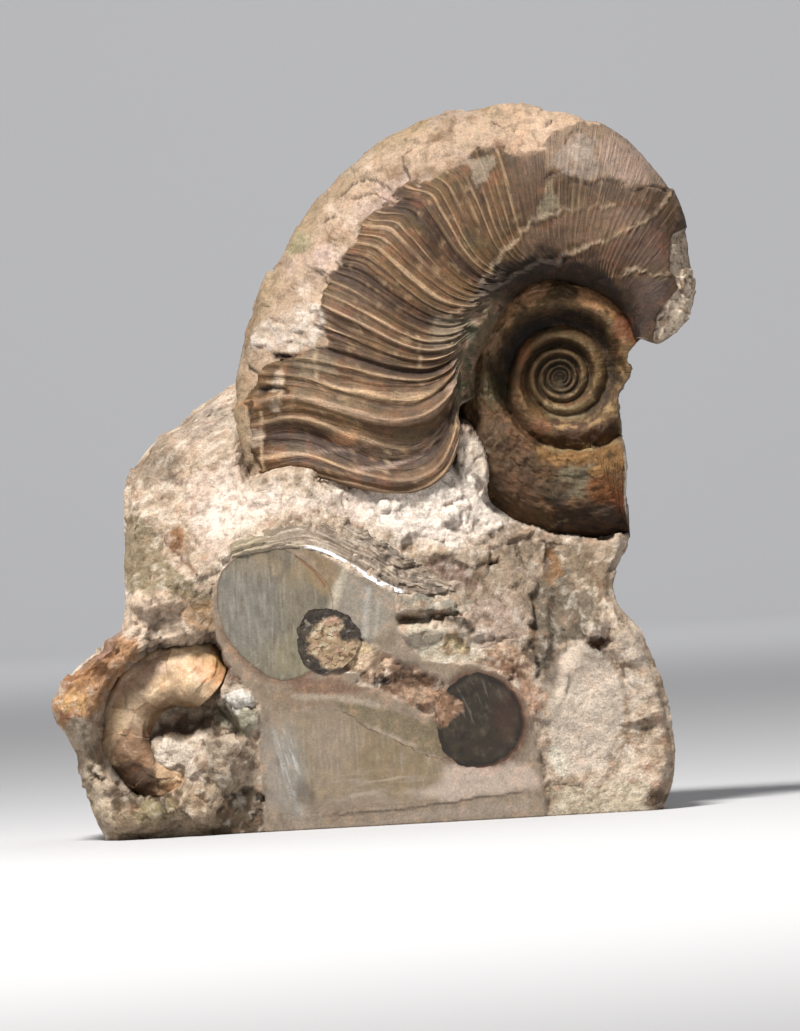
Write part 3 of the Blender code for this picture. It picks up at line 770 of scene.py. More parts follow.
def shell_colours(w):
    """The brown shell, with painted shade in the grooves and hollow folds, painted highlights on the crests
    and raised folds.
    """
    crest = np.clip(w.ribs, 0.0, 1.0)
    colours = cloudy(plain((103, 81, 57), w.angle.shape), w.bare, SHELL_CLOUDS)
    # Painted shade: the grooves between the ribs are darkened.
    colours = lay(colours, (48, 32, 20), (1.0 - ease(crest / 0.34)) * 0.9 * ease(w.size / 0.35) * w.on_flank)
    # Painted highlight on the rib crests, broken up by noise.
    glow = ease(0.55 + 1.3 * rough(w.wander * (1.6, 1.0, 1.0), 1.0, 4, 78))
    painted_highlight = ease((crest - 0.55) / 0.3) * mix(0.35, 0.85, ease(w.size / 0.8)) * glow
    colours = lay(colours, (214, 190, 162), painted_highlight)
    # Painted shade in the hollow folds, then a painted highlight on the crests of the raised folds.
    colours = lay(colours, (58, 40, 29), np.clip(-w.fold * w.size * 1.5, 0.0, 0.8) * w.on_flank)
    fold_highlight = np.clip(w.fold * w.size, 0.0, 0.6) * ease((crest - 0.5) / 0.4)
    colours = lay(colours, (177, 155, 138), fold_highlight)
    colours = cloudy(colours, w.bare, (((167, 146, 120), 1.6, 4, 75, 2.0, -0.7, 0.6),))
    return colours * SHELL_TONE


def cast_colours(colours, w):
    """The cream cast, the rock at the right-hand end, and the shell's broken edges: painted shadow along the
    step, painted highlights on the layer edges.
    """
    bare = w.bare
    colours = lay(colours, (158, 136, 114), w.cast)
    colours = cloudy(colours, bare, CAST_CLOUDS, w.cast)
    veins = w.cast * (1.0 - ease(w.grain_edge / 0.1)) * ease(rough(bare, 5.0, 2, 92))
    colours = lay(colours, (107, 84, 62), veins)
    rim = ease((w.radius / venter_radius(w.angle) - 0.93) / 0.05)
    colours = lay(colours, (120, 103, 74), w.cast * rim * 0.5)
    # Painted shadow: a dark line along the step where the shell ends above the lower cast.
    colours = lay(colours, (74, 52, 36), w.front * np.exp(-((w.past_edge / 0.3) ** 2)) * 0.6)
    colours = lay(colours, (206, 188, 166), w.rock_end)
    colours = cloudy(colours, bare, (((124, 100, 80), 1.2, 4, 98, 2.2, -0.1, 0.8),), w.rock_end)
    colours = lay(colours, (186, 175, 163), w.rough_cast * (0.5 + 0.5 * w.grain))
    # Painted highlight on the upward-facing edges of the broken shell layers.
    colours = lay(colours, (176, 156, 128), w.bright * 0.75)
    colours = cloudy(colours, bare, (((163, 138, 129), 2.0, 3, 93, 1.4, 0.0, 0.7),), w.shoulder)
    return lay(colours, (50, 34, 26), w.front * np.maximum(0.75 * w.cracks, w.slots))


def inner_edge_colours(colours, w):
    """The steep inner edge: painted shade where it faces down over the coils, rubble colours farther on."""
    rubble = ease((w.angle - 128.0) / 20.0)
    ragged_flank = w.flank + (1.0 - rubble) * 0.09 * rough(w.bare, 2.4, 3, 97)
    wall = 1.0 - ease((ragged_flank - 0.03) / mix(0.13, 0.04, rubble))
    # Painted shade: the inner wall is darkened where it faces down over the top of the coils.
    wall_shade = mix(colours, tint(34, 24, 17), 0.92)
    mixed = cloudy(plain((112, 96, 74), w.angle.shape), w.bare, RUBBLE_CLOUDS)
    return mix(colours, mix(wall_shade, mixed, rubble[..., None]), wall[..., None])


def whorl_colours(w):
    crest = np.clip(w.ribs, 0.0, 1.0)
    colours = cast_colours(shell_colours(w), w)
    marked = draw(colours, w.x, w.z, WHORL_MARKS, 0.9, 60, 0.5)
    colours = mix(colours, marked, (w.front * (1.0 - 0.4 * (1.0 - ease(crest / 0.3))))[..., None])
    colours = lay(colours, (54, 40, 28), 0.45 * ease((w.x - 12.0) / 18.0) * (1.0 - w.bare_cast))
    return inner_edge_colours(colours, w)


# %% Build the last whorl


def with_ends(grid, rows):
    """Repeats the first and the last row of a grid for the rows that close a tube."""
    return np.concatenate((np.repeat(grid[:1], rows, 0), grid, np.repeat(grid[-1:], rows, 0)))


def last_whorl():
    w = bare_whorl()
    add_ribs(w)
    add_wear(w)
    out = outward(w.bare, FRONT_POINT)
    points = closed_ends(w.bare + out * whorl_relief(w)[..., None], END_ROWS)
    colours = with_ends(whorl_colours(w), END_ROWS)
    smooth_spots = np.max([area(w.x, w.z, outline) for outline in GREY_SPOTS], axis=0)
    gloss = mix(0.5, 0.3, np.maximum(w.bare_cast, smooth_spots * w.front))
    ends = np.ones(points.shape[:2])
    ends[END_ROWS:-END_ROWS] = 0.0
    gloss = with_ends(gloss, END_ROWS) * (1.0 - ends)
    shake = 0.7 * chips(points, 3.0, 23)[0] + 0.3 * rough(points, 1.5, 3, 24)
    points[..., 0] += shake * ends * 0.5
    points[..., 2] += shake * ends * 0.5
    colours = lay(colours, (172, 154, 134), ends)
    lie = np.zeros((*points.shape[:2], 2))
    lie[END_ROWS:-END_ROWS] = np.stack((w.count, w.flank * 40.0), axis=-1)
    return skin("last_whorl", points, colours, gloss, lie)


shell_finish = finish("ribbed shell", dry=0.8, shiny=0.3, mottle=0.2, grain=0.25, bump=0.45, cavity_shade=0.45,
                      stain=(112, 66, 46), stained=0.35, lines=(6.0, 0.16, 0.22))
whorl = last_whorl()
dress(whorl, shell_finish, "ribbed_shell", "large_ammonite")

# %% [markdown]
# ## The inner coils
#
# Inside the last whorl the older turns form a stepped bowl. They could be one spiral tube, but its
# turns would cut into each other. A disc of points about the umbilicus is cleaner: for each point, the
# spiral seams say which turn it lies on and how far across, and that gives its depth. Each turn rises
# steeply from its inner seam to a rounded shoulder and falls a little to the next seam. On the right
# the disc ends at the fracture, below it ends at the round outer edge of the turn before last.

# %% Coil seams
SEAM = (  # angle counted on through the turns, radius of the seam in millimetres
    (-2073.0, 0.35), (-1713.0, 0.7), (-1353.0, 1.25), (-993.0, 2.0), (-633.0, 3.05), (-453.0, 3.8),
    (-273.0, 4.7), (-93.0, 5.6), (0.0, 7.1), (42.0, 7.8), (87.0, 7.9), (140.0, 7.8), (177.0, 8.0),
    (198.0, 8.8), (223.0, 9.5), (251.0, 10.4), (278.0, 11.2), (306.0, 12.6), (360.0, 14.2), (447.0, 15.4),
    (500.0, 17.0), (558.0, 20.8), (586.0, 22.8), (623.0, 24.9), (667.0, 28.0), (720.0, 32.0),
)
FRACTURE = (  # height, how far right the coil reaches
    (38.0, 38.3), (40.1, 38.1), (46.9, 37.4), (50.0, 37.7), (54.2, 37.8), (58.5, 37.1), (63.2, 37.4),
    (66.0, 39.3), (68.6, 38.9), (71.3, 41.2), (75.7, 41.4), (84.0, 41.4),
)
COIL_ROWS = 336
COIL_COLUMNS = (190, 14, 44)  # over the front, down the rim and over the back


def coil_edge(angle):
    """How far the disc reaches at an angle, and how much that edge is the fracture (0 to 1)."""
    hidden = dorsal_radius(np.maximum(angle, 0.1)) + 4.0
    free = venter_radius(angle - 360.0)
    reach = mix(hidden, free, ease((angle - 205.0) / 12.0))
    slope = np.cos(np.radians(angle))
    broken = np.full(angle.shape, 10.0)
    for _ in range(6):
        height = UMBILICUS[1] + broken * np.sin(np.radians(angle))
        broken = mix(broken, (curve(height, FRACTURE) - UMBILICUS[0]) / np.maximum(slope, 0.05), 0.7)
    return np.minimum(reach, broken), ease((reach - broken) / 0.8)


def coil_depth(radius, angle):
    """Depth of the coils, place across the turn, and 1 on the last part, whose flank is flat."""
    depth = np.full(radius.shape, 0.5)
    share = np.zeros(radius.shape)
    late = np.zeros(radius.shape)
    round_trip = 4.0 * np.stack((np.cos(np.radians(angle)), np.sin(np.radians(angle)), 0 * angle), axis=-1)
    for turn in range(-6, 2):
        inner = curve(angle + 360.0 * (turn - 1), SEAM)
        outer = curve(angle + 360.0 * turn, SEAM)
        if turn == 1:
            inner = inner + 0.35 * rough(round_trip, 1.0, 3, 8)
        width = np.maximum(outer - inner, 0.1)
        t = np.clip((radius - inner) / width, 0.0, 1.0)
        top = 0.36 * outer + 0.5
        foot = 0.62 * (0.36 * inner + 0.5)
        grown = ease((angle - 150.0) / 70.0) if turn == 1 else 0.0 * angle
        wall = mix(0.45, 0.06, grown)
        fall = mix(0.62, 0.1, grown)
        rise = ease(t / wall) * (1.0 - fall * np.clip((t - wall) / (1.0 - wall), 0.0, 1.0) ** 2)
        here = radius >= inner
        depth = np.where(here, foot + (top - foot) * rise, depth)
        share = np.where(here, t, share)
        late = np.where(here, grown, late)
    return depth, share, late


# %% Shape of the coils


def coil_points():
    """The disc of the coils, with where each point lies on it."""
    front, rim, back = COIL_COLUMNS
    share = np.concatenate((np.linspace(0.0, 1.0, front) ** 0.8, np.ones(rim), np.linspace(1.0, 0.0, back)))
    side = np.concatenate((np.ones(front), np.linspace(1.0, -1.0, rim + 2)[1:-1], -np.ones(back)))
    angle = np.linspace(0.0, 360.0, COIL_ROWS + 1)[:, None]
    angle, share, side = np.broadcast_arrays(angle, share[None, :], side[None, :])
    c = SimpleNamespace(angle=angle)
    c.edge, c.broken = coil_edge(angle)
    c.radius = share * c.edge
    depth, c.across, c.outermost = coil_depth(c.radius, angle)
    near_edge = np.clip((c.radius - c.edge + 7.0) / 7.0, 0.0, 1.0)
    depth *= np.sqrt(1.0 - (1.0 - c.broken) * near_edge**2 * 0.98)
    at = np.radians(angle)
    c.x, c.z = UMBILICUS[0] + c.radius * np.cos(at), UMBILICUS[1] + c.radius * np.sin(at)
    c.points = np.stack((c.x, -depth * side, c.z), axis=-1)
    band = ease((c.across - 0.02) / 0.1) * ease((1.0 - c.across) / 0.1)
    worn = ease((c.radius - 8.6) / 1.5) * band * ease((angle - 60.0) / 30.0)
    rugged = mix(0.5, 1.0, np.maximum(c.outermost, worn))
    shake = 0.36 * rough(c.points, 3.6, 4, 101) * rugged * ease(c.radius / 4.0)
    pitted, _ = chips(c.points, 1.8, 111)
    grain = (0.24 * pitted + 0.2 * rough(c.points, 1.0, 3, 112)) * rugged**2 * ease(c.radius / 3.0)
    c.points[..., 1] -= side * (shake + grain)
    c.wall = (np.abs(side) < 0.999) * c.broken
    c.points[..., 0] += c.wall * (0.5 * chips(c.points, 4.0, 121)[0] + 0.3 * rough(c.points, 1.5, 3, 122))
    c.above = 0.5 + 0.5 * np.sin(at)
    return c


# %% Marks on the coils
COIL_MARKS = (
    # Painted shadow: the dark band above the umbilicus, where a turn's inner wall faces down.
    ("area", (46, 38, 30), 0.85, ((20.4, 66.0), (21.0, 71.0), (24.0, 74.6), (28.6, 75.8), (33.5, 75.0),
                                  (36.8, 72.6), (35.6, 71.6), (32.0, 73.4), (28.2, 73.8), (24.4, 71.6),
                                  (22.2, 68.0)), 1.2),
    ("spot", (206, 162, 124), 0.95, (35.1, 77.3), (4.2, 1.7), -25.0, 0.8),
    ("spot", (206, 166, 134), 0.9, (25.4, 78.6), (2.8, 1.4), 25.0, 0.8),
    ("spot", (112, 96, 72), 0.8, (30.0, 79.0), (1.6, 1.6), 0.0, 0.8),
    ("spot", (186, 150, 116), 0.9, (21.2, 75.8), (2.6, 1.4), 50.0, 0.8),
    ("spot", (182, 150, 124), 0.85, (18.4, 71.4), (2.4, 1.4), 50.0, 0.8),
    ("spot", (66, 66, 46), 0.85, (18.6, 64.8), (1.9, 2.6), 0.0, 0.8),
    ("spot", (132, 80, 52), 0.8, (39.4, 73.0), (2.2, 3.0), 20.0, 0.8),
    ("spot", (148, 100, 70), 0.7, (23.4, 69.6), (0.8, 2.6), -25.0, 0.9),
    ("spot", (119, 81, 53), 0.7, (22.4, 64.6), (1.2, 2.4), 0.0, 0.8),
    ("spot", (122, 93, 62), 0.7, (24.0, 60.2), (2.2, 1.8), -40.0, 0.8),
    ("spot", (160, 114, 91), 0.7, (25.2, 58.6), (1.4, 1.0), -30.0, 0.8),
    ("line", (200, 184, 153), 0.85, ((26.0, 61.9), (27.5, 61.2), (29.4, 60.9), (31.6, 61.2),
                                     (33.4, 62.2)), 0.8, 0.9),
    ("line", (177, 163, 138), 0.7, ((26.6, 60.2), (29.0, 59.8), (31.6, 60.0)), 0.9, 0.9),
    ("area", (96, 71, 64), 0.7, ((26.5, 58.8), (30.0, 59.2), (34.0, 59.0), (37.0, 59.5), (36.5, 56.6),
                                 (31.0, 55.8), (27.2, 56.8)), 1.2),
    ("line", (181, 163, 129), 0.9, ((25.4, 55.6), (27.4, 54.8), (30.0, 54.4), (32.6, 54.9),
                                    (36.8, 55.6)), 0.6, 0.9),
    ("area", (162, 127, 86), 0.85, ((24.2, 56.2), (27.0, 54.5), (31.0, 54.2), (37.4, 55.4), (37.6, 50.8),
                                    (33.6, 50.2), (31.6, 52.0), (27.4, 52.6), (25.0, 54.0)), 1.4),
    ("area", (127, 122, 107), 0.8, ((27.6, 52.3), (32.4, 52.4), (33.0, 49.8), (30.6, 47.6),
                                    (27.0, 48.4)), 1.6),
    ("spot", (53, 50, 40), 0.7, (27.2, 48.3), (2.2, 2.0), 30.0, 0.9),
    ("spot", (120, 76, 41), 0.85, (34.6, 48.2), (2.8, 2.4), -15.0, 0.9),
    ("spot", (126, 64, 38), 0.6, (36.0, 46.3), (1.4, 1.0), 0.0, 0.9),
    # Painted shade along the bottom of the lowest turn, where it curves under.
    ("area", (57, 41, 31), 0.85, ((26.6, 47.0), (32.0, 46.4), (37.6, 45.4), (38.0, 40.0),
                                  (26.5, 40.0)), 2.5),
    ("area", (96, 76, 60), 0.7, ((15.5, 62.0), (22.5, 61.0), (23.5, 56.0), (25.5, 50.0), (22.0, 45.0),
                                 (18.0, 48.0), (14.5, 53.0)), 1.5),
    ("spot", (127, 96, 72), 0.6, (21.9, 58.0), (1.6, 3.4), 30.0, 0.9),
    ("spot", (95, 64, 46), 0.5, (20.8, 50.3), (2.6, 1.4), -35.0, 0.9),
    ("line", (169, 157, 138), 0.5, ((15.6, 54.6), (19.2, 57.0)), 0.2, 0.9),
    ("line", (169, 157, 138), 0.5, ((16.2, 56.6), (18.4, 58.2)), 0.2, 0.9),
    ("line", (163, 151, 129), 0.6, ((25.0, 42.9), (27.4, 43.8), (28.4, 44.2)), 0.25, 0.9),
)

# %% Colours of the coils
COIL_CLOUDS = (((74, 58, 42), 3.0, 4, 131, 1.6, 0.0, 0.7), ((128, 109, 77), 2.0, 4, 141, 1.6, 0.0, 0.6))
COIL_TONE = (0.62, 0.55, 0.44)


def coil_colours(c):
    """Brown shell with painted shade in the grooves between the turns, darkest above the umbilicus, and a
    painted highlight on the turns below it.
    """
    inner = 1.0 - c.outermost
    # Painted shade in the groove on the inner side of each turn.
    groove_shade = (1.0 - ease((c.across - 0.12) / 0.36)) * inner * mix(0.45, 1.0, ease((c.radius - 1.5) / 5.0))
    crest = np.exp(-(((c.across - 0.55) / 0.18) ** 2)) * inner
    colours = cloudy(plain((99, 81, 56), c.angle.shape), c.points, COIL_CLOUDS)
    colours = cloudy(colours, c.points, (((121, 81, 51), 1.6, 4, 145, 1.8, -0.2, 0.5),), ease(c.radius / 5.0))
    colours = lay(colours, (95, 74, 53), c.outermost * 0.7)
    colours = lay(colours, (137, 114, 81), crest * 0.5)
    colours = lay(colours, (65, 55, 42), (1.0 - ease((c.radius - 2.5) / 2.0)) * 0.7)
    colours = draw(colours, c.x, c.z, COIL_MARKS, 1.0, 70, 0.7)
    colours = cloudy(colours, c.points, (((58, 49, 35), 1.2, 4, 147, 2.0, -0.6, 0.6),), c.outermost)
    # The painted shade is strongest in the upper half, where the walls face down.
    colours = lay(colours, (23, 17, 11), groove_shade * mix(0.25, 0.92, c.above))
    # Painted highlight on the turns in the lower half, where they face up.
    glint = np.exp(-(((c.across - 0.35) / 0.16) ** 2)) * inner * (1.0 - c.above) * ease(c.radius / 4.0)
    colours = cloudy(colours, c.points, (((214, 186, 146), 1.4, 4, 148, 1.8, 0.2, 0.6),), glint)
    colours = colours * COIL_TONE
    pale_rim = c.broken * ease((c.radius - c.edge + 1.0) / 0.5) * ease((UMBILICUS[1] - 8.0 - c.z) / 4.0)
    return lay(colours, (132, 123, 113), np.maximum(pale_rim, c.wall * 0.9) * 0.85)


# %% Build the coils


def inner_coils():
    c = coil_points()
    gloss = mix(0.44, 0.3, np.maximum(c.wall, c.outermost))
    lie = np.stack((c.angle * c.radius / 60.0, c.radius), axis=-1)
    return skin("inner_coils", c.points, coil_colours(c), gloss, lie)


coil_finish = finish("old shell", dry=0.8, shiny=0.3, mottle=0.3, grain=0.3, bump=0.5, cavity_shade=0.5,
                     stain=(96, 64, 44), stained=0.3, lines=(2.2, 0.5, 0.15))
coils = inner_coils()
dress(coils, coil_finish, "ribbed_shell", "large_ammonite")

# %% [markdown]
# ## The rock
#
# The rock is one skin wound around the vertical axis, with most of its columns on the front and few on
# the back. Its front is built from the same parts as the real one: a polished face, a ledge that
# slopes back above it, a deep hollow around the small ammonite, and a bed where the big one lies.
# Where the rock is broken it gets tilted facets and noise of several sizes. Where it is sawn or
# polished it stays flat.

# %% Rock outline
SMALL_CENTRE = (-32.1, -12.2, 14.4)
SMALL_RADIUS = 15.0
SMALL_COILING = 0.155  # share of the radius lost with every radian
ROCK_TOP = 86.0
BACK = 21.0
BED_DEPTH = 24.0  # of the bed that the big ammonite lies in
ROCK_EDGES = (  # height, left edge, right edge
    (0.0, -43.6, 40.2), (5.0, -45.5, 42.1), (11.0, -46.9, 42.4), (16.5, -48.6, 41.7), (20.2, -50.6, 40.7),
    (23.7, -48.8, 39.4), (27.2, -45.3, 38.3), (30.5, -40.2, 35.6), (34.0, -38.9, 34.6), (40.0, -38.6, 37.2),
    (47.0, -38.6, 37.8), (53.0, -37.8, 37.4), (57.0, -36.0, 37.2), (61.0, -31.9, 37.1), (64.4, -25.1, 38.0),
    (67.8, -20.5, 38.8), (72.0, -15.0, 40.0), (80.0, -6.0, 37.0), (ROCK_TOP, 4.0, 27.0),
)
LEDGE = (  # across, height where the slope starts, how far back it goes
    (-52.0, 36.0, 9.0), (-38.0, 37.0, 9.0), (-27.0, 39.5, 8.0), (-22.0, 42.6, 7.5), (-15.5, 43.4, 7.3),
    (-10.5, 42.4, 7.3), (-5.0, 38.8, 7.0), (1.8, 34.8, 6.6), (7.0, 31.5, 6.6), (12.0, 29.5, 7.0),
    (16.0, 28.0, 8.5), (22.0, 27.0, 10.5), (30.0, 29.0, 12.5), (42.0, 28.0, 13.0),
)
LEDGE_SLOPE = 1.15
POLISH = (
    (-19.6, -1.0), (-19.9, 8.0), (-19.6, 14.0), (-19.4, 19.0), (-22.0, 22.5), (-25.5, 28.0), (-26.0, 34.0),
    (-24.9, 38.0), (-22.0, 42.0), (-15.5, 43.2), (-10.5, 42.3), (-5.0, 38.7), (1.6, 34.7), (1.2, 31.5),
    (3.0, 28.0), (5.5, 24.5), (11.0, 23.8), (16.5, 22.5), (20.6, 18.5), (21.6, 12.0), (22.6, 6.0),
    (22.8, -1.0),
)
HOLLOWS = (  # across, up, half width, half height, depth (a lump is negative)
    (-47.5, 20.5, 6.5, 7.0, -4.2), (-40.5, 27.5, 7.0, 4.0, -2.0),
    (-33.0, 12.0, 5.4, 4.6, -3.4), (-26.0, 12.0, 6.5, 7.0, -3.6), (-40.5, 3.8, 6.5, 3.0, -1.2),
    (-31.0, 17.8, 5.5, 2.2, 1.2), (-30.5, 4.6, 7.0, 4.2, -3.6), (-38.0, 3.4, 6.0, 3.6, -2.4),
    (32.0, 14.0, 12.0, 15.0, 2.2), (27.0, 28.5, 3.0, 7.5, 2.6), (25.2, 21.5, 1.8, 4.5, 1.8),
    (32.3, 25.7, 2.2, 1.1, 2.2), (6.5, 30.6, 6.6, 1.4, 2.6), (10.3, 26.8, 1.5, 1.5, 0.8),
    (5.0, 28.6, 4.5, 1.8, -1.2), (25.7, 38.2, 1.3, 3.0, 1.2), (-22.6, 17.0, 3.8, 2.6, -1.2),
    (-21.6, 20.2, 3.0, 1.2, -1.2), (16.4, 38.1, 1.6, 0.6, 1.0), (8.0, 37.5, 7.0, 3.0, 0.9),
    (19.5, 7.2, 1.5, 1.5, 0.4), (20.0, 33.0, 6.0, 5.0, -1.5), (33.0, 33.0, 4.0, 5.0, -1.2),
    (-35.0, 42.5, 4.0, 5.5, 1.5), (-34.0, 35.5, 5.5, 2.0, -1.5),
)
VEIN = ((-6.3, 26.2), (-3.6, 24.9), (-1.0, 22.7), (2.6, 21.3), (6.1, 19.3), (9.1, 17.3))
BEADS = (  # across, up, radius: small round shells on the rough front
    (-31.3, 44.9, 1.35), (10.9, 45.7, 1.6), (0.9, 47.9, 1.1), (10.3, 26.8, 1.0),
)
ROCK_COLUMNS = (270, 26, 84, 26)  # front, right, back, left


def small_radius(angle):
    """Outline of the small ammonite, which coils inwards as the angle grows."""
    return SMALL_RADIUS * np.exp(-SMALL_COILING * np.radians(angle - 70.0))


def inside_coil(x, z):
    """How far a point lies inside the big ammonite's outline (negative outside)."""
    dx, dz = x - UMBILICUS[0], z - UMBILICUS[1]
    radius = np.hypot(dx, dz)
    angle = np.degrees(np.arctan2(dz, dx)) % 360.0
    inner = dorsal_radius(np.float64(LAST_ANGLE))
    flank = np.clip((radius - inner) / (venter_radius(np.float64(LAST_ANGLE)) - inner), 0.0, 1.2)
    end = LAST_ANGLE + rib_sweep(LAST_ANGLE, flank) + 12.0 * np.exp(-(((flank - 0.3) / 0.35) ** 2))
    past_end = np.radians(end - angle) * radius
    last = np.minimum(venter_radius(np.minimum(angle, LAST_ANGLE)) - radius, past_end)
    best = np.where(angle <= LAST_ANGLE + 30.0, last, -30.0)
    lower = np.where(angle >= 170.0, venter_radius(angle - 360.0) - radius, -30.0)
    return np.maximum(np.maximum(best, lower), 12.0 - radius)


def rock_front(x, z):
    """Depth of the rock's front, and where it is polished (0 to 1)."""
    limit = curve(x, LEDGE, 2) + 0.85 * np.maximum(0.0, z - 46.0) * ease((-17.0 - x) / 4.0)
    above = np.maximum(0.0, z - curve(x, LEDGE, 1))
    recess = limit * np.tanh(above * LEDGE_SLOPE / limit)
    shake = 0.5 * rough(in_front(x, z), 3.0, 3, 161)
    vein = line(x + 1.6 * shake, z + shake, VEIN, 5.0, 0.2)
    polished = area(x + shake, z + 0.6 * shake, POLISH, 0.4) * (1.0 - vein)
    turned = np.degrees(np.arctan2(z - SMALL_CENTRE[2], x - SMALL_CENTRE[0])) % 360.0
    small = small_radius(turned)
    small = small * mix(0.5, 1.0, ease((turned - 40.0) / 20.0) * (1.0 - ease((turned - 262.0) / 25.0)))
    gap = small + 1.6 - np.hypot(z - SMALL_CENTRE[2], x - SMALL_CENTRE[0])
    recess = recess + (6.4 * ease(gap / 2.0) + 0.4 * ease(gap / 8.0)) * (1.0 - polished)
    for cx, cz, half_width, half_height, depth in HOLLOWS:
        near = ((x - cx) / half_width) ** 2 + ((z - cz) / half_height) ** 2
        recess = recess + depth * ease(1.0 - near) * (1.0 - polished)
    recess = recess + 0.7 * (1.0 - polished) * ease((x - 20.0) / 4.0) + 0.3 * (1.0 - polished)
    within = inside_coil(x, z)
    bridge = spot(x, z, (14.5, 54.0), (2.5, 7.0), 12.0, 0.5)
    recess = mix(recess, BED_DEPTH, ease((within - 0.2) / 3.2) * (1.0 - bridge))
    return FRONT + recess, polished * (1.0 - ease(above / 0.5)), mix(within, -1.0, bridge)


# %% Marks on the rock
GREY_OUTLINE = (
    (-24.9, 34.5), (-24.7, 37.6), (-23.5, 39.9), (-21.2, 41.5), (-18.4, 42.4), (-15.7, 42.6), (-13.6, 41.8),
    (-11.4, 40.3), (-9.7, 38.7), (-8.1, 36.6), (-7.6, 34.2), (-7.6, 30.5), (-8.4, 27.2), (-10.4, 24.6),
    (-13.4, 22.9), (-16.8, 22.8), (-19.6, 24.6), (-22.4, 27.4), (-24.2, 30.8),
)
RING_OUTLINE = (
    (-13.3, 28.6), (-12.7, 31.1), (-11.1, 32.7), (-8.6, 33.1), (-6.2, 32.2), (-4.4, 30.6), (-3.8, 28.3),
    (-4.8, 25.6), (-6.7, 24.0), (-9.2, 23.3), (-11.6, 24.2), (-13.0, 26.1),
)
DARK_OUTLINE = (
    (9.7, 20.6), (8.4, 19.4), (7.6, 17.4), (7.2, 15.4), (7.1, 13.0), (7.6, 10.9), (9.5, 8.8),
    (11.8, 8.0), (14.2, 8.0), (16.9, 8.9), (19.2, 11.1), (20.1, 14.0), (19.5, 17.6), (17.5, 20.3),
    (14.8, 21.7), (11.8, 21.9),
)
SMOOTH_PATCH = (
    (25.6, 24.9), (30.7, 24.9), (33.9, 22.3), (35.3, 17.8), (34.3, 11.7), (31.5, 6.6), (26.1, 6.1),
    (23.9, 12.0), (23.6, 18.5),
)
MIDDLE_RIGHT = ((2.0, 42.0), (14.0, 46.0), (34.0, 40.0), (34.0, 30.0), (26.0, 25.0), (12.0, 24.0))
GREY_FACET = (
    (26.65, 37.6), (32.2, 33.4), (30.1, 26.4), (25.5, 25.3), (23.0, 20.9), (22.2, 26.1), (22.3, 32.7),
    (24.1, 35.8),
)
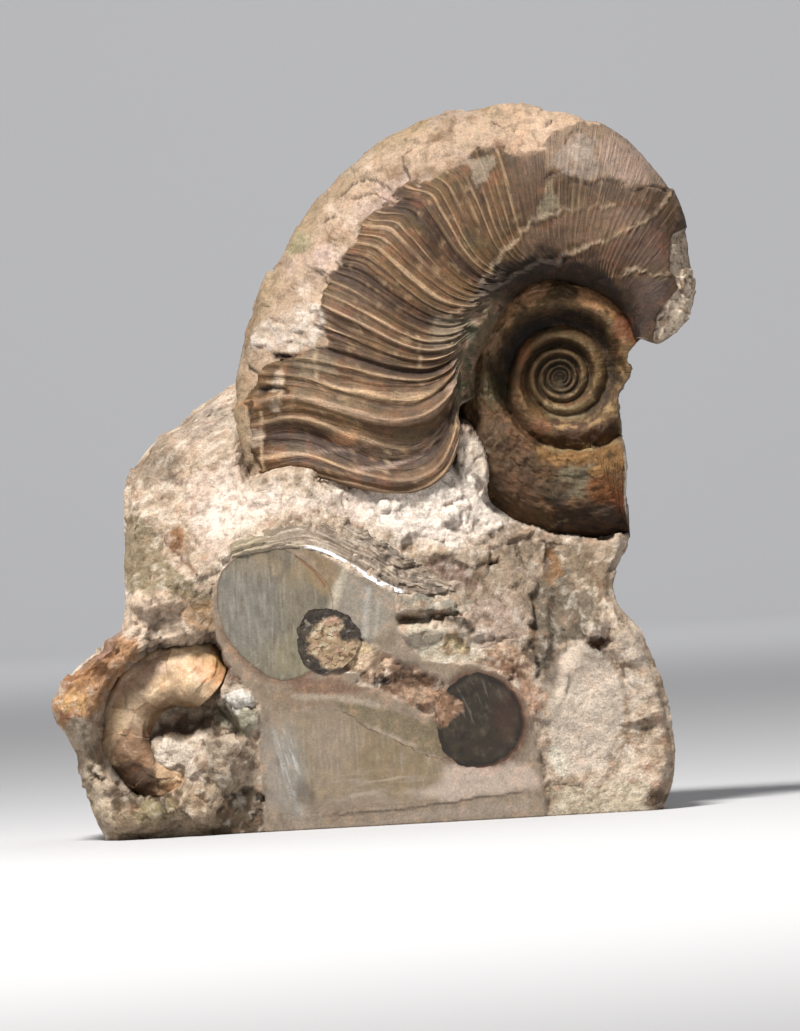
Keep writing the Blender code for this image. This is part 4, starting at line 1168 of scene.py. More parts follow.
ROCK_MARKS = (
    ("spot", (236, 222, 206), 0.85, (13.4, 54.0), (3.6, 6.0), 12.0, 0.7),
    ("spot", (150, 120, 100), 0.8, (14.2, 61.0), (2.0, 3.0), 12.0, 0.7),
    ("area", (216, 196, 182), 0.7, ((-30.0, 53.0), (-20.0, 58.0), (-20.0, 46.0), (-26.0, 40.0),
                                    (-28.0, 46.0)), 2.5),
    ("area", (148, 136, 110), 0.85, ((-38.2, 48.7), (-34.9, 48.2), (-33.7, 46.3), (-33.0, 42.9),
                                     (-31.5, 40.4), (-29.0, 38.4), (-27.1, 37.3), (-25.6, 35.5),
                                     (-26.5, 32.5), (-31.0, 33.0), (-36.0, 36.0), (-41.0, 39.0),
                                     (-41.0, 47.0)), 0.7),
    ("spot", (210, 190, 168), 0.8, (-34.5, 35.6), (4.0, 1.6), 0.0, 0.8),
    ("area", (236, 214, 192), 0.8, ((-40.0, 37.0), (-31.0, 36.0), (-27.0, 31.5), (-31.0, 28.5),
                                    (-41.0, 31.0)), 1.6),
    ("spot", (172, 136, 98), 0.7, (-27.6, 32.6), (3.4, 2.0), -20.0, 0.8),
    ("spot", (138, 122, 104), 0.7, (-33.1, 56.2), (4.4, 3.2), 30.0, 0.9),
    ("spot", (168, 152, 138), 0.6, (-26.0, 62.0), (5.0, 2.5), 30.0, 0.9),
    ("spot", (120, 106, 96), 0.7, (-31.0, 54.6), (0.7, 2.4), 25.0, 0.8),
    ("area", (196, 142, 92), 0.75, ((-51.5, 20.6), (-48.1, 25.4), (-44.3, 28.2), (-39.5, 30.2),
                                    (-37.0, 29.5), (-39.6, 24.4), (-42.5, 20.8), (-44.3, 18.7),
                                    (-48.5, 17.3)), 1.2),
    ("spot", (148, 118, 108), 0.8, (-43.2, 29.0), (4.4, 1.5), 35.0, 0.8),
    ("spot", (216, 176, 122), 0.7, (-47.4, 21.6), (2.4, 1.6), 0.0, 0.9),
    ("spot", (136, 92, 62), 0.7, (-46.6, 24.4), (3.0, 0.6), 25.0, 0.8),
    ("spot", (140, 92, 68), 0.7, (-48.6, 19.0), (2.4, 0.7), -20.0, 0.8),
    ("area", (196, 180, 156), 0.7, ((-50.0, 17.0), (-44.5, 17.5), (-44.0, 8.0), (-40.0, 0.0),
                                    (-48.0, 0.0)), 2.0),
    ("spot", (214, 200, 182), 0.8, (-45.6, 16.2), (1.6, 2.2), 10.0, 0.7),
    ("area", (170, 150, 124), 0.75, ((-41.0, 8.0), (-26.0, 8.0), (-20.5, 4.0), (-20.5, -1.0),
                                     (-43.0, -1.0)), 2.0),
    # Painted shadow on the rock under the small ammonite.
    ("spot", (70, 58, 44), 0.85, (-37.6, 6.0), (5.6, 2.0), -8.0, 0.9),
    ("spot", (178, 166, 128), 0.6, (-35.5, 3.8), (3.4, 1.4), 0.0, 0.9),
    ("area", (182, 166, 146), 0.7, ((-29.0, 18.0), (-21.0, 19.0), (-19.6, 12.0), (-20.0, 4.0),
                                    (-26.0, 5.0)), 1.6),
    ("spot", (230, 218, 204), 0.9, (-32.6, 12.2), (3.8, 3.0), 10.0, 0.9),
    # Painted shadow inside the small ammonite's coil, under the top of its tube.
    ("spot", (82, 72, 56), 0.7, (-31.4, 16.4), (4.4, 1.6), 10.0, 0.9),
    ("spot", (92, 80, 62), 0.6, (-25.5, 17.0), (2.4, 2.6), 0.0, 0.9),
    ("spot", (104, 84, 70), 0.6, (-22.4, 11.0), (2.6, 0.8), -35.0, 0.8),
    ("spot", (210, 194, 178), 0.6, (-24.0, 9.0), (1.8, 0.7), 20.0, 0.8),
    ("area", (96, 84, 70), 0.9, ((-27.1, -1.0), (-25.8, 6.1), (-20.5, 6.9), (-14.3, 4.4),
                                 (-12.0, -0.9)), 0.9),
    ("spot", (166, 166, 146), 0.8, (-22.6, 17.1), (3.4, 2.1), -10.0, 0.6),
    ("spot", (240, 238, 232), 0.95, (-21.9, 20.1), (2.6, 1.2), 10.0, 0.6),
    ("spot", (112, 74, 52), 0.7, (-24.4, 26.0), (1.8, 4.2), 35.0, 0.9),
    ("line", (120, 60, 44), 0.85, ((-24.6, 29.0), (-22.0, 25.6), (-18.8, 22.6), (-15.0, 22.6),
                                   (-12.6, 23.0)), 0.6, 0.9),
    # The next two darker areas are partly the stone's grey-green colour and partly painted shade.
    ("area", (138, 122, 102), 0.85, ((15.0, 40.0), (22.0, 41.5), (30.0, 41.0), (35.0, 36.0), (33.0, 30.0),
                                     (27.0, 25.5), (21.0, 24.5), (15.0, 28.0), (12.0, 34.0)), 2.5),
    ("area", (112, 100, 84), 0.75, ((22.0, 33.0), (27.0, 34.0), (33.0, 32.0), (30.0, 27.0),
                                    (24.0, 26.0)), 1.6),
    ("spot", (156, 142, 124), 0.6, (13.5, 35.5), (7.0, 4.0), -25.0, 0.9),
    ("spot", (134, 108, 98), 0.7, (10.5, 37.0), (5.0, 1.6), -28.0, 0.8),
    ("spot", (206, 186, 176), 0.4, (17.0, 29.6), (5.0, 3.2), -10.0, 0.8),
    ("spot", (176, 160, 142), 0.6, (20.5, 38.0), (4.0, 6.0), 0.0, 0.9),
    ("area", (162, 160, 148), 0.85, ((2.3, 34.9), (6.0, 34.4), (12.5, 32.2), (13.0, 31.0), (6.0, 32.2),
                                     (2.3, 33.4)), 0.5),
    # Painted shadow in the cleft below the pale band.
    ("line", (62, 50, 42), 0.9, ((0.6, 31.2), (4.2, 30.7), (7.5, 31.1), (11.3, 30.0),
                                 (13.0, 28.6)), 1.2, 0.8),
    ("area", (218, 210, 190), 0.85, ((3.0, 29.8), (8.0, 29.6), (12.6, 27.6), (13.4, 24.6), (9.6, 23.0),
                                     (5.6, 24.6), (3.8, 26.6)), 0.9),
    ("spot", (150, 122, 88), 0.8, (10.3, 26.8), (1.9, 1.7), 0.0, 0.7),
    ("spot", (212, 196, 160), 0.9, (10.3, 26.8), (1.0, 0.9), 0.0, 0.5),
    ("spot", (92, 70, 54), 0.7, (15.6, 25.2), (0.9, 0.9), 0.0, 0.8),
    ("spot", (206, 170, 142), 0.7, (18.4, 23.2), (3.6, 2.6), -30.0, 0.9),
    ("spot", (196, 150, 124), 0.6, (21.4, 17.4), (1.6, 3.0), 0.0, 0.9),
    ("area", (126, 116, 102), 0.95, GREY_FACET, 0.6),
    ("line", (88, 76, 64), 0.85, ((22.3, 32.7), (22.2, 26.1), (23.0, 20.9)), 0.8, 0.8),
    ("line", (206, 192, 172), 0.6, ((26.65, 37.6), (32.2, 33.4), (30.1, 26.4)), 0.7, 0.8),
    ("spot", (150, 116, 84), 0.9, (25.7, 38.2), (1.0, 2.7), 0.0, 0.5),
    ("area", (208, 196, 182), 0.9, SMOOTH_PATCH, 0.6),
    ("line", (158, 146, 130), 0.5, ((34.2, 22.0), (35.6, 17.8), (34.6, 11.7), (31.9, 6.9)), 0.6, 0.9),
    ("area", (226, 220, 204), 0.9, ((23.1, 11.3), (25.3, 10.6), (26.3, 6.1), (24.2, 5.1)), 0.4),
    ("area", (208, 197, 174), 0.9, ((23.4, 4.6), (37.4, 3.9), (38.6, 0.0), (23.4, 0.0)), 0.7),
    ("spot", (112, 92, 76), 0.8, (39.3, 1.9), (2.0, 1.2), 0.0, 0.8),
    ("spot", (92, 68, 50), 0.95, (32.3, 25.8), (1.9, 0.8), 0.0, 0.5),
    ("line", (120, 84, 60), 0.7, ((31.9, 24.8), (33.4, 23.2), (34.6, 21.4)), 0.3, 0.9),
    ("line", (112, 82, 62), 0.8, ((31.0, 36.8), (32.6, 34.9), (34.2, 33.6)), 0.35, 0.9),
    ("spot", (92, 78, 66), 0.8, (16.4, 38.1), (1.4, 0.5), 12.0, 0.7),
    ("spot", (154, 112, 78), 0.85, (-31.3, 44.9), (1.5, 1.5), 0.0, 0.35),
    ("line", (112, 58, 44), 0.85, ((-31.6, 43.3), (-30.1, 42.2), (-28.8, 40.5), (-27.6, 38.6)), 0.35, 0.9),
    ("line", (170, 128, 106), 0.7, ((-27.0, 52.6), (-27.8, 50.0), (-28.4, 47.6)), 0.25, 0.9),
    ("line", (164, 132, 112), 0.7, ((-11.6, 49.8), (-12.4, 48.0), (-13.0, 46.2)), 0.25, 0.9),
    ("line", (160, 136, 118), 0.7, ((7.2, 46.7), (8.4, 46.2), (9.3, 45.3), (9.4, 44.2)), 0.4, 0.9),
    ("line", (168, 146, 126), 0.7, ((12.2, 46.6), (12.7, 45.4), (12.0, 44.2), (10.6, 43.8)), 0.3, 0.9),
    ("spot", (176, 140, 128), 0.7, (0.9, 48.2), (1.1, 0.8), 0.0, 0.6),
)
# Painted light: the slope above the polished face is lightened where it faces up.
LEDGE_LIGHT = (
    ("area", (236, 218, 204), 0.85, ((-24.0, 53.0), (-18.0, 51.0), (-9.0, 50.0), (3.0, 52.0),
                                     (12.0, 53.0), (15.0, 47.5), (10.0, 42.5), (2.0, 44.0), (-4.0, 46.5),
                                     (-9.0, 48.5), (-19.0, 46.5), (-25.0, 44.0), (-28.0, 47.0)), 3.5),
    ("area", (252, 238, 224), 0.8, ((-2.0, 51.0), (12.0, 55.0), (17.0, 50.0), (21.0, 45.0), (12.0, 41.5),
                                    (4.0, 42.5), (-2.0, 46.0)), 3.0),
)
VEIN_MARKS = (
    ("line", (140, 110, 88), 0.9, VEIN, 5.4, 0.3),
    ("spot", (246, 224, 184), 0.95, (-3.8, 25.8), (2.8, 2.2), -30.0, 0.6),
    ("spot", (240, 212, 184), 0.9, (-2.0, 24.2), (2.2, 1.8), -20.0, 0.7),
    ("spot", (50, 42, 38), 0.95, (-0.9, 21.8), (1.5, 1.2), 0.0, 0.6),
    ("spot", (196, 170, 148), 0.8, (4.8, 19.4), (2.6, 1.6), -20.0, 0.8),
    ("spot", (96, 72, 58), 0.8, (2.4, 21.0), (2.2, 1.0), -20.0, 0.7),
    ("spot", (196, 158, 132), 0.9, (7.2, 17.0), (2.2, 2.6), 0.0, 0.7),
    ("spot", (100, 76, 60), 0.8, (6.6, 21.6), (2.6, 1.0), 10.0, 0.7),
    ("spot", (120, 88, 66), 0.7, (2.8, 17.8), (2.4, 1.1), -25.0, 0.7),
    ("spot", (120, 82, 60), 0.7, (17.6, 22.6), (3.6, 0.9), -40.0, 0.7),
)
POLISH_MARKS = (
    ("line", (92, 64, 48), 0.8, (*DARK_OUTLINE, DARK_OUTLINE[0]), 1.8, 0.9),
    ("line", (120, 84, 62), 0.6, GREY_OUTLINE[10:19], 1.4, 0.9),
    # Painted reflection: the next area and two pale lines are a bluish sheen on the polished face.
    ("area", (158, 151, 138), 0.7, ((-6.6, 38.6), (1.6, 34.6), (1.2, 31.0), (-2.0, 27.4),
                                    (-7.4, 29.0)), 2.0),
    ("line", (190, 186, 178), 0.6, ((-2.2, 35.6), (-3.2, 28.6)), 0.9, 0.9),
    ("line", (186, 182, 172), 0.5, ((-0.6, 33.6), (-1.4, 28.4)), 0.5, 0.9),
    ("line", (206, 194, 172), 0.8, ((-6.0, 38.2), (-7.3, 34.2), (-8.4, 31.0)), 1.4, 0.9),
    ("area", (144, 123, 94), 0.7, ((-12.0, 42.2), (-9.5, 41.6), (-6.0, 38.6), (-8.0, 36.0)), 0.8),
    ("area", (126, 109, 96), 0.7, ((-3.5, 25.5), (1.5, 25.5), (3.5, 23.0), (-1.0, 23.5)), 0.8),
    ("area", (144, 123, 102), 0.7, ((-19.5, 20.5), (-12.0, 22.5), (-6.0, 21.5), (0.0, 19.5), (-6.0, 18.6),
                                    (-14.0, 18.4)), 1.0),
    ("area", (126, 94, 74), 0.6, ((-15.0, 22.8), (-9.0, 22.6), (-2.6, 20.6), (-8.0, 19.8),
                                  (-14.0, 20.6)), 0.8),
    ("area", (126, 113, 87), 0.8, ((-9.0, 19.0), (-3.7, 18.3), (-0.7, 17.3), (3.5, 15.7), (7.7, 14.3),
                                   (8.2, 9.6), (4.4, 10.8), (0.3, 13.1), (-3.9, 15.0), (-7.0, 17.8)), 0.5),
    ("line", (180, 165, 146), 0.8, ((-14.0, 20.0), (-9.7, 19.8), (-5.7, 19.2), (-1.7, 18.0)), 0.8, 0.9),
    ("line", (173, 158, 139), 0.7, ((-3.4, 15.2), (0.3, 13.3), (3.4, 11.7)), 0.5, 0.9),
    ("area", (206, 186, 170), 0.75, ((8.0, 8.4), (20.0, 8.0), (22.5, 4.6), (8.0, 3.4), (0.0, 5.0),
                                     (2.0, 6.5)), 1.4),
    ("line", (74, 59, 49), 0.8, ((-10.8, 2.0), (-5.0, 2.1), (1.4, 2.3), (10.4, 3.2),
                                 (19.4, 3.9)), 0.3, 0.8),
    ("line", (178, 161, 148), 0.5, ((-10.8, 5.6), (-6.0, 5.9), (-2.0, 6.4)), 0.5, 0.9),
    ("line", (178, 161, 148), 0.5, ((-9.8, 4.2), (-4.0, 4.6), (0.0, 5.2)), 0.4, 0.9),
    # Painted reflection: the next area and two pale lines are a bluish sheen at the left of the polished
    # face.
    ("area", (156, 148, 138), 0.6, ((-19.6, 16.0), (-14.0, 16.6), (-12.0, 6.0), (-14.0, 1.0),
                                    (-19.0, 4.0)), 2.4),
    ("line", (182, 178, 172), 0.6, ((-17.6, 15.0), (-16.2, 9.0), (-14.6, 3.0)), 0.5, 0.9),
    ("line", (186, 182, 176), 0.6, ((-16.2, 14.0), (-15.2, 8.0), (-14.0, 2.4)), 0.4, 0.9),
    ("line", (112, 98, 84), 0.6, ((-17.2, 11.0), (-16.0, 5.0)), 0.5, 0.9),
    ("line", (141, 131, 119), 0.6, ((-12.2, 7.0), (-12.2, 0.2)), 0.25, 0.9),
    ("area", (165, 150, 134), 0.7, ((-4.0, 0.4), (20.0, 1.0), (20.0, 2.6), (2.0, 1.6)), 0.8),
)


# %% Shape of the rock
NECK_HEIGHT = 56.0  # above it the rock is only a bed for the big ammonite
SURFACE_POINT = (60, 100)  # row and column of a point that faces the front


def rock_places():
    """A grid of points wound round the block, from the base to the top."""
    heights = np.concatenate((
        np.linspace(0.0, NECK_HEIGHT, 178), np.linspace(NECK_HEIGHT, ROCK_TOP, 42)[1:],
    ))
    left, right = curve(heights, ROCK_EDGES, 1)[:, None], curve(heights, ROCK_EDGES, 2)[:, None]
    front, east, back, west = ROCK_COLUMNS
    across = np.concatenate((
        np.linspace(-1.0, 1.0, front, endpoint=False), np.ones(east),
        np.linspace(1.0, -1.0, back, endpoint=False), -np.ones(west + 1),
    ))[None, :]
    inward = np.concatenate((
        np.zeros(front), np.linspace(0.0, 1.0, east, endpoint=False), np.ones(back),
        np.linspace(1.0, 0.0, west + 1),
    ))[None, :]
    x = mix(left, right, (across + 1.0) / 2.0)
    z = np.broadcast_to(heights[:, None], x.shape)
    across, inward = np.broadcast_to(across, x.shape), np.broadcast_to(inward, x.shape)
    front_depth, polished, within = rock_front(x, z)
    corner = ease((np.abs(across) - 0.94) / 0.06)
    front_depth = front_depth + 2.6 * corner**2
    dome = 5.0 * (x / 46.0) ** 2 + 5.0 * ease((z - 35.0) / 55.0) ** 2 + 2.5 * ease((14.0 - z) / 14.0)
    back_depth = BACK - dome + 3.5 * rough(np.stack((x, 0 * x + 9.0, z), axis=-1), 17.0, 2, 151)
    y = mix(front_depth, back_depth, inward)
    middle = (left + right) / 2.0
    x = middle + (x - middle) * (1.0 - 0.13 * inward**3)
    z = z * (1.0 - 0.1 * inward**3 * (2.0 * z / ROCK_TOP - 1.0) ** 2 * (z > 40.0))
    on_front = (inward < 1e-6).astype(float)
    r = SimpleNamespace(bare=np.stack((x, y, z), axis=-1), x=x, z=z, on_front=on_front)
    r.polished = polished * on_front
    r.within = within
    return r


def rock_relief(r):
    """Broken facets, lumps, pits and small round shells. The sawn and polished parts stay flat."""
    bare, x, z = r.bare, r.x, r.z
    facets, r.facet_edge = chips(bare, 7.0, 201)
    r.small = chips(bare, 2.4, 211)[0]
    r.tiny = chips(bare, 1.15, 212)[0]
    r.broken = (1.0 - r.polished) * ease((z - 0.3) / 2.5)
    r.smooth_patch = area(x, z, SMOOTH_PATCH, 1.2) * r.on_front
    relief = 0.95 * facets + 0.8 * rough(bare, 8.0, 2, 221) + 0.24 * rough(bare, 2.2, 4, 231)
    relief += 0.5 * r.small * ease(0.6 + rough(bare, 9.0, 2, 241))
    relief += 0.16 * r.tiny * ease(0.5 + 1.5 * rough(bare, 6.0, 2, 242))
    rubble = ease((-19.0 - x) / 3.0) * ease((44.0 - z) / 6.0) * r.on_front
    relief += rubble * (0.2 * r.small + 0.1 * r.tiny)
    relief += area(x, z, MIDDLE_RIGHT, 5.0) * r.on_front * (0.55 * chips(bare, 3.4, 213)[0] + 0.16 * r.tiny)
    calm = ease(0.5 - 1.6 * rough(bare, 12.0, 2, 251))
    grey_facet = area(x, z, GREY_FACET, 0.7) * r.on_front
    relief = relief * mix(1.0, 0.7, calm) * mix(1.0, 0.35, r.smooth_patch) * mix(1.0, 0.35, grey_facet)
    relief -= 0.5 * grey_facet
    r.pits = ease((rough(bare, 1.3, 2, 261) - 0.62) / 0.2) * ease(rough(bare, 8.0, 2, 262) * 2.0)
    r.pits = r.pits * (1.0 - r.smooth_patch)
    relief -= 0.35 * r.pits
    for cx, cz, size in BEADS:
        near = np.hypot(x - cx, z - cz) / size
        dome = 0.5 * size * np.sqrt(np.clip(1.0 - near**2, 0.0, 1.0))
        relief += r.on_front * (dome - 0.3 * np.exp(-(((near - 1.1) / 0.15) ** 2)))
    out = outward(bare, SURFACE_POINT)
    sideways = ease((np.abs(out[..., 0]) - 0.35) / 0.5)
    near_bed = 1.0 - 0.8 * ease(r.within / 3.0) * r.on_front
    return out * (relief * r.broken * near_bed * (1.0 - 0.55 * sideways))[..., None]


# %% Colours of the rock
ROCK_CLOUDS = (
    ((226, 212, 196), 5.0, 4, 271, 1.8, 0.0, 1.0), ((186, 164, 140), 6.0, 4, 281, 1.8, 0.0, 0.8),
    ((166, 148, 126), 2.6, 4, 291, 2.0, -0.4, 0.7), ((184, 146, 122), 1.8, 4, 295, 2.0, -0.5, 0.6),
    ((228, 216, 202), 1.5, 4, 297, 2.0, -0.5, 0.7),
)
POLISH_CLOUDS = (
    ((162, 146, 128), 4.0, 4, 298, 1.8, 0.0, 0.7), ((130, 110, 92), 2.0, 4, 299, 1.8, -0.2, 0.6),
)
ROCK_TONE = (0.84, 0.81, 0.78)


def streaks(x, z, seed):
    """Fine upright streaks left by the polishing wheel."""
    return rough(np.stack((x * 4.0, 0 * x, z * 0.5), axis=-1), 2.0, 4, seed)


def polished_colours(x, z):
    """Colours of the rock where it is polished."""
    colours = cloudy(plain((150, 133, 114), x.shape), in_front(x, z), POLISH_CLOUDS)
    colours = lay(colours, (170, 156, 140), ease(streaks(x, z, 305) * 1.3) * 0.3)
    return draw(colours, x, z, POLISH_MARKS, 0.5, 310) * 0.68


def rock_colours(r):
    bare, x, z = r.bare, r.x, r.z
    colours = cloudy(plain((206, 188, 168), x.shape), bare, ROCK_CLOUDS)
    marked = draw(colours, x, z, ROCK_MARKS + VEIN_MARKS, 1.3, 300, 0.8) * ROCK_TONE
    # Painted light on the upward slope of the ledge.
    marked = draw(marked, x, z, LEDGE_LIGHT, 1.6, 303)
    # Painted shade in the low spots of the small relief and painted highlights on its high spots.
    height = 0.5 * r.small + 0.4 * r.tiny + 0.7 * rough(bare, 1.4, 3, 302)
    height = height * (1.0 - 0.7 * r.smooth_patch)
    marked = lay(marked, (104, 84, 66), ease((-height - 0.15) / 0.5) * 0.45)
    marked = lay(marked, (246, 232, 214), ease((height - 0.2) / 0.5) * 0.35)
    marked = mix(marked, polished_colours(x, z), r.polished[..., None])
    colours = mix(colours, marked, r.on_front[..., None])
    colours = lay(colours, (110, 88, 70), r.pits * r.broken * 0.8)
    cracks = (1.0 - ease(r.facet_edge / 0.05)) * r.broken * 0.4
    return lay(colours, (126, 106, 86), cracks * ease(2.0 * rough(bare, 5.0, 2, 301)))


# %% Build the rock
BASE_RINGS = 12
CROWN_RINGS = 7


def rock():
    r = rock_places()
    points = r.bare + rock_relief(r)
    points[..., 2] = np.where(r.z <= 0.0, 0.0, np.maximum(points[..., 2], 0.02))
    colours = rock_colours(r)
    gloss = np.maximum(r.polished, 0.25 * r.smooth_patch)
    base = points[:1] * (1.0, 1.0, 0.0)
    base_middle, top_middle = base.mean(axis=1, keepdims=True), points[-1:].mean(axis=1, keepdims=True)
    rings = [mix(base_middle, base, share) for share in np.linspace(0.0, 0.96, BASE_RINGS)]
    crown = [mix(points[-1:], top_middle, share) for share in np.linspace(0.15, 1.0, CROWN_RINGS)]
    points = np.concatenate(rings + [points] + crown)
    colours = np.concatenate([colours[:1]] * BASE_RINGS + [colours] + [colours[-1:]] * CROWN_RINGS)
    sawn = 0.4 + 0 * gloss[:1]
    gloss = np.concatenate([sawn] * BASE_RINGS + [gloss] + [gloss[-1:]] * CROWN_RINGS)
    return skin("rock", points, colours, gloss)


rock_finish = finish("pale rock", dry=0.95, shiny=0.2, mottle=0.16, grain=0.22, bump=0.95, cavity_shade=0.35,
                     stain=(170, 128, 100), stained=0.3)
block = rock()
dress(block, rock_finish, "rock", "matrix")

# %% [markdown]
# ## Shells cut by the polished face
#
# The saw went through a coiled shell, so the face shows it where it crossed: a big disc of grey
# calcite, a ring with a pale crystal core, and a dark disc. Below them is the open body chamber of
# another shell, filled with tan calcite. Each is a plate whose face lies level with the rock, and whose
# outline is a closed curve through a few points, so its edge stays crisp.

# %% Plates


def closed_curve(points, t):
    """A smooth closed curve through the points, for t from 0 to 1."""
    ring = np.array(points, float)
    count = len(ring)
    place = (t % 1.0) * count
    i = np.floor(place).astype(int)
    f = (place - i)[..., None]
    a, b, c, d = (ring[(i + k) % count] for k in (-1, 0, 1, 2))
    return 0.5 * (2 * b + (c - a) * f + (2 * a - 5 * b + 4 * c - d) * f**2 + (3 * b - a - 3 * c + d) * f**3)


def plate(name, outline, depth, colour_of, proud=0.05, rings=70, steps=220, relief_of=None, gloss=1.0,
          ragged=0.12):
    """A closed plate in the polished face: its outline, how deep it goes, and its colours."""
    edge = closed_curve(outline, np.linspace(0.0, 1.0, steps + 1))
    middle = edge[:-1].mean(axis=0)
    beside = in_front(edge[:, 0], edge[:, 1])
    edge = edge + ragged * np.stack((rough(beside, 1.6, 4, 551), rough(beside, 1.6, 4, 561)), axis=-1)
    share = np.concatenate((np.linspace(0.0, 1.0, rings), (1.0, 0.9, 0.5, 0.0)))
    sunk = np.concatenate((np.zeros(rings), (0.4 * depth, depth, depth, depth)))
    flat = middle + (edge[:, None, :] - middle) * share[None, :, None]
    x, z = flat[..., 0], flat[..., 1]
    y = np.broadcast_to(FRONT - proud + sunk[None, :], x.shape)
    if relief_of is not None:
        y = y - relief_of(x, z) * (sunk == 0.0)[None, :]
    colours = colour_of(x, z, np.broadcast_to(share[None, :], x.shape))
    return skin(name, np.stack((x, y, z), axis=-1), colours, np.full(x.shape, gloss), crisp=True)


# %% The grey disc
GREY_SPOT = ("spot", (151, 131, 102), 0.7, (-16.5, 40.5), (7.0, 3.4), 0.0, 0.9)
GREY_MARKS = (
    ("spot", (148, 139, 111), 0.6, (-13.0, 26.0), (4.0, 3.4), 0.0, 0.9),
    ("spot", (134, 130, 122), 0.7, (-20.5, 34.0), (5.0, 7.0), 0.0, 0.9),
)
GREY_SCRATCHES = (
    ("line", (196, 184, 164), 0.8, ((-6.0, 38.2), (-7.3, 34.2), (-8.4, 31.0)), 1.4, 0.9),
    ("spot", (153, 129, 96), 0.7, (-9.2, 37.4), (1.6, 3.0), 40.0, 0.9),
    ("line", (129, 80, 53), 0.7, ((-12.8, 41.2), (-10.2, 38.8), (-8.6, 36.4)), 0.3),
)
CALCITE_TONE = 0.72


def grey_colours(x, z, share):
    colours = sharp(plain((129, 120, 102), x.shape), x, z, (GREY_SPOT,))
    colours = cloudy(colours, in_front(x, z), (((108, 103, 93), 4.0, 4, 401, 1.5, 0.0, 0.6),))
    colours = sharp(colours, x, z, GREY_MARKS)
    colours = lay(colours, (164, 156, 142), ease(streaks(x, z, 411) * 1.5) * 0.5)
    colours = lay(colours, (102, 92, 78), ease(-streaks(x, z, 421) * 1.5) * 0.45)
    colours = sharp(colours, x, z, GREY_SCRATCHES)
    return lay(colours, (96, 75, 56), ease((share - 0.965) / 0.02) * 0.4) * CALCITE_TONE


# %% The ring and its crystal core
RING_CORE = (
    (-11.5, 28.5), (-10.6, 30.1), (-9.0, 31.1), (-7.5, 31.9), (-6.3, 30.9), (-7.0, 29.1), (-6.3, 27.8),
    (-3.0, 27.6), (-3.0, 24.0), (-8.2, 23.9), (-9.7, 24.3), (-10.3, 25.7), (-11.6, 26.3),
)
CORE_CLOUDS = (
    ((200, 184, 155), 1.8, 4, 451, 1.8, 0.0, 1.0), ((184, 146, 126), 1.6, 3, 455, 1.8, -0.3, 1.0),
    ((110, 83, 57), 1.1, 3, 461, 1.8, -0.3, 1.0),
)


def ring_colours(x, z, share):
    points = in_front(x, z)
    colours = cloudy(plain((64, 55, 46), x.shape), points, (((40, 34, 29), 1.2, 3, 431, 1.5, 0.0, 0.7),))
    wobble = 0.5 * rough(points, 1.6, 3, 441)
    core = area(x + wobble, z - wobble, RING_CORE, 0.6)
    colours = cloudy(lay(colours, (169, 143, 112), core), points, CORE_CLOUDS, core)
    return lay(colours, (50, 38, 31), ease((share - 0.95) / 0.03) * (1.0 - core) * 0.7) * CALCITE_TONE


def crystals(x, z):
    points = in_front(x, z)
    return 0.1 + 0.1 * chips(points, 0.9, 501)[0] + 0.16 * rough(points, 2.0, 4, 502)


# %% The dark disc
DARK_BAY = (
    (5.0, 21.0), (8.2, 20.6), (8.8, 18.8), (10.8, 18.0), (11.0, 16.6), (8.8, 15.2), (7.0, 14.4), (5.0, 16.0),
)
BAY_CLOUDS = (((200, 172, 150), 1.2, 3, 495, 2.0, 0.0, 0.7), ((84, 62, 46), 0.9, 3, 496, 2.0, -0.4, 0.7))
DARK_TONE = (0.64, 0.6, 0.56)


def dark_colours(x, z, share):
    """Nearly black calcite with scratches, a rusty rim and a bay of vein rock bitten out of it."""
    points = in_front(x, z)
    colours = cloudy(plain((56, 49, 38), x.shape), points, (((80, 72, 58), 3.0, 4, 471, 1.5, 0.0, 0.6),))
    scratch = rough(np.stack((x * 3.0 + z, 0 * x, z * 0.4 - x * 0.2), axis=-1), 1.6, 3, 481)
    scratched = ease(scratch * 1.6 - 0.2) * spot(x, z, (12.4, 18.6), (5.5, 4.0), 0.0, 0.9)
    colours = lay(colours, (102, 99, 96), scratched)
    colours = cloudy(colours, points, (((34, 28, 24), 2.0, 4, 491, 1.5, -0.1, 0.7),))
    colours = sharp(colours, x, z, (("spot", (81, 55, 44), 0.4, (17.6, 15.4), (2.0, 4.0), 0.0, 0.9),))
    dark_edge = ease((share + 0.06 * rough(points, 2.0, 3, 497) - 0.84) / 0.1)
    colours = lay(colours, (30, 25, 19), dark_edge * 0.7)
    rust = ease((share - 0.95) / 0.03) * ease((x - 13.0 + (14.0 - z) * 0.3) / 3.0)
    colours = lay(colours, (112, 66, 42), rust * 0.6)
    bitten = area(x + 0.7 * rough(points, 1.8, 3, 493), z + 0.7 * rough(points, 1.8, 3, 494), DARK_BAY, 0.7)
    colours = lay(colours, (146, 114, 90), bitten * 0.95)
    return cloudy(colours, points, BAY_CLOUDS, bitten) * DARK_TONE


# %% Build the sawn shell
SHELL_DEPTH = 4.0
calcite_finish = finish("cut calcite", dry=0.6, shiny=0.25, mottle=0.12, grain=0.16, bump=0.3, cavity_shade=0.3,
                        stain=(120, 106, 84), stained=0.15, coat=0.1)
grey_disc = plate("grey_disc", GREY_OUTLINE, SHELL_DEPTH, grey_colours)
ring = plate("calcite_ring", RING_OUTLINE, SHELL_DEPTH, ring_colours, proud=0.1, relief_of=crystals,
             gloss=0.5, ragged=0.35)
dark_disc = plate("dark_disc", DARK_OUTLINE, SHELL_DEPTH, dark_colours, gloss=0.8, ragged=0.25)
for piece in (grey_disc, ring, dark_disc):
    dress(piece, calcite_finish, "calcite", "sawn_ammonite")

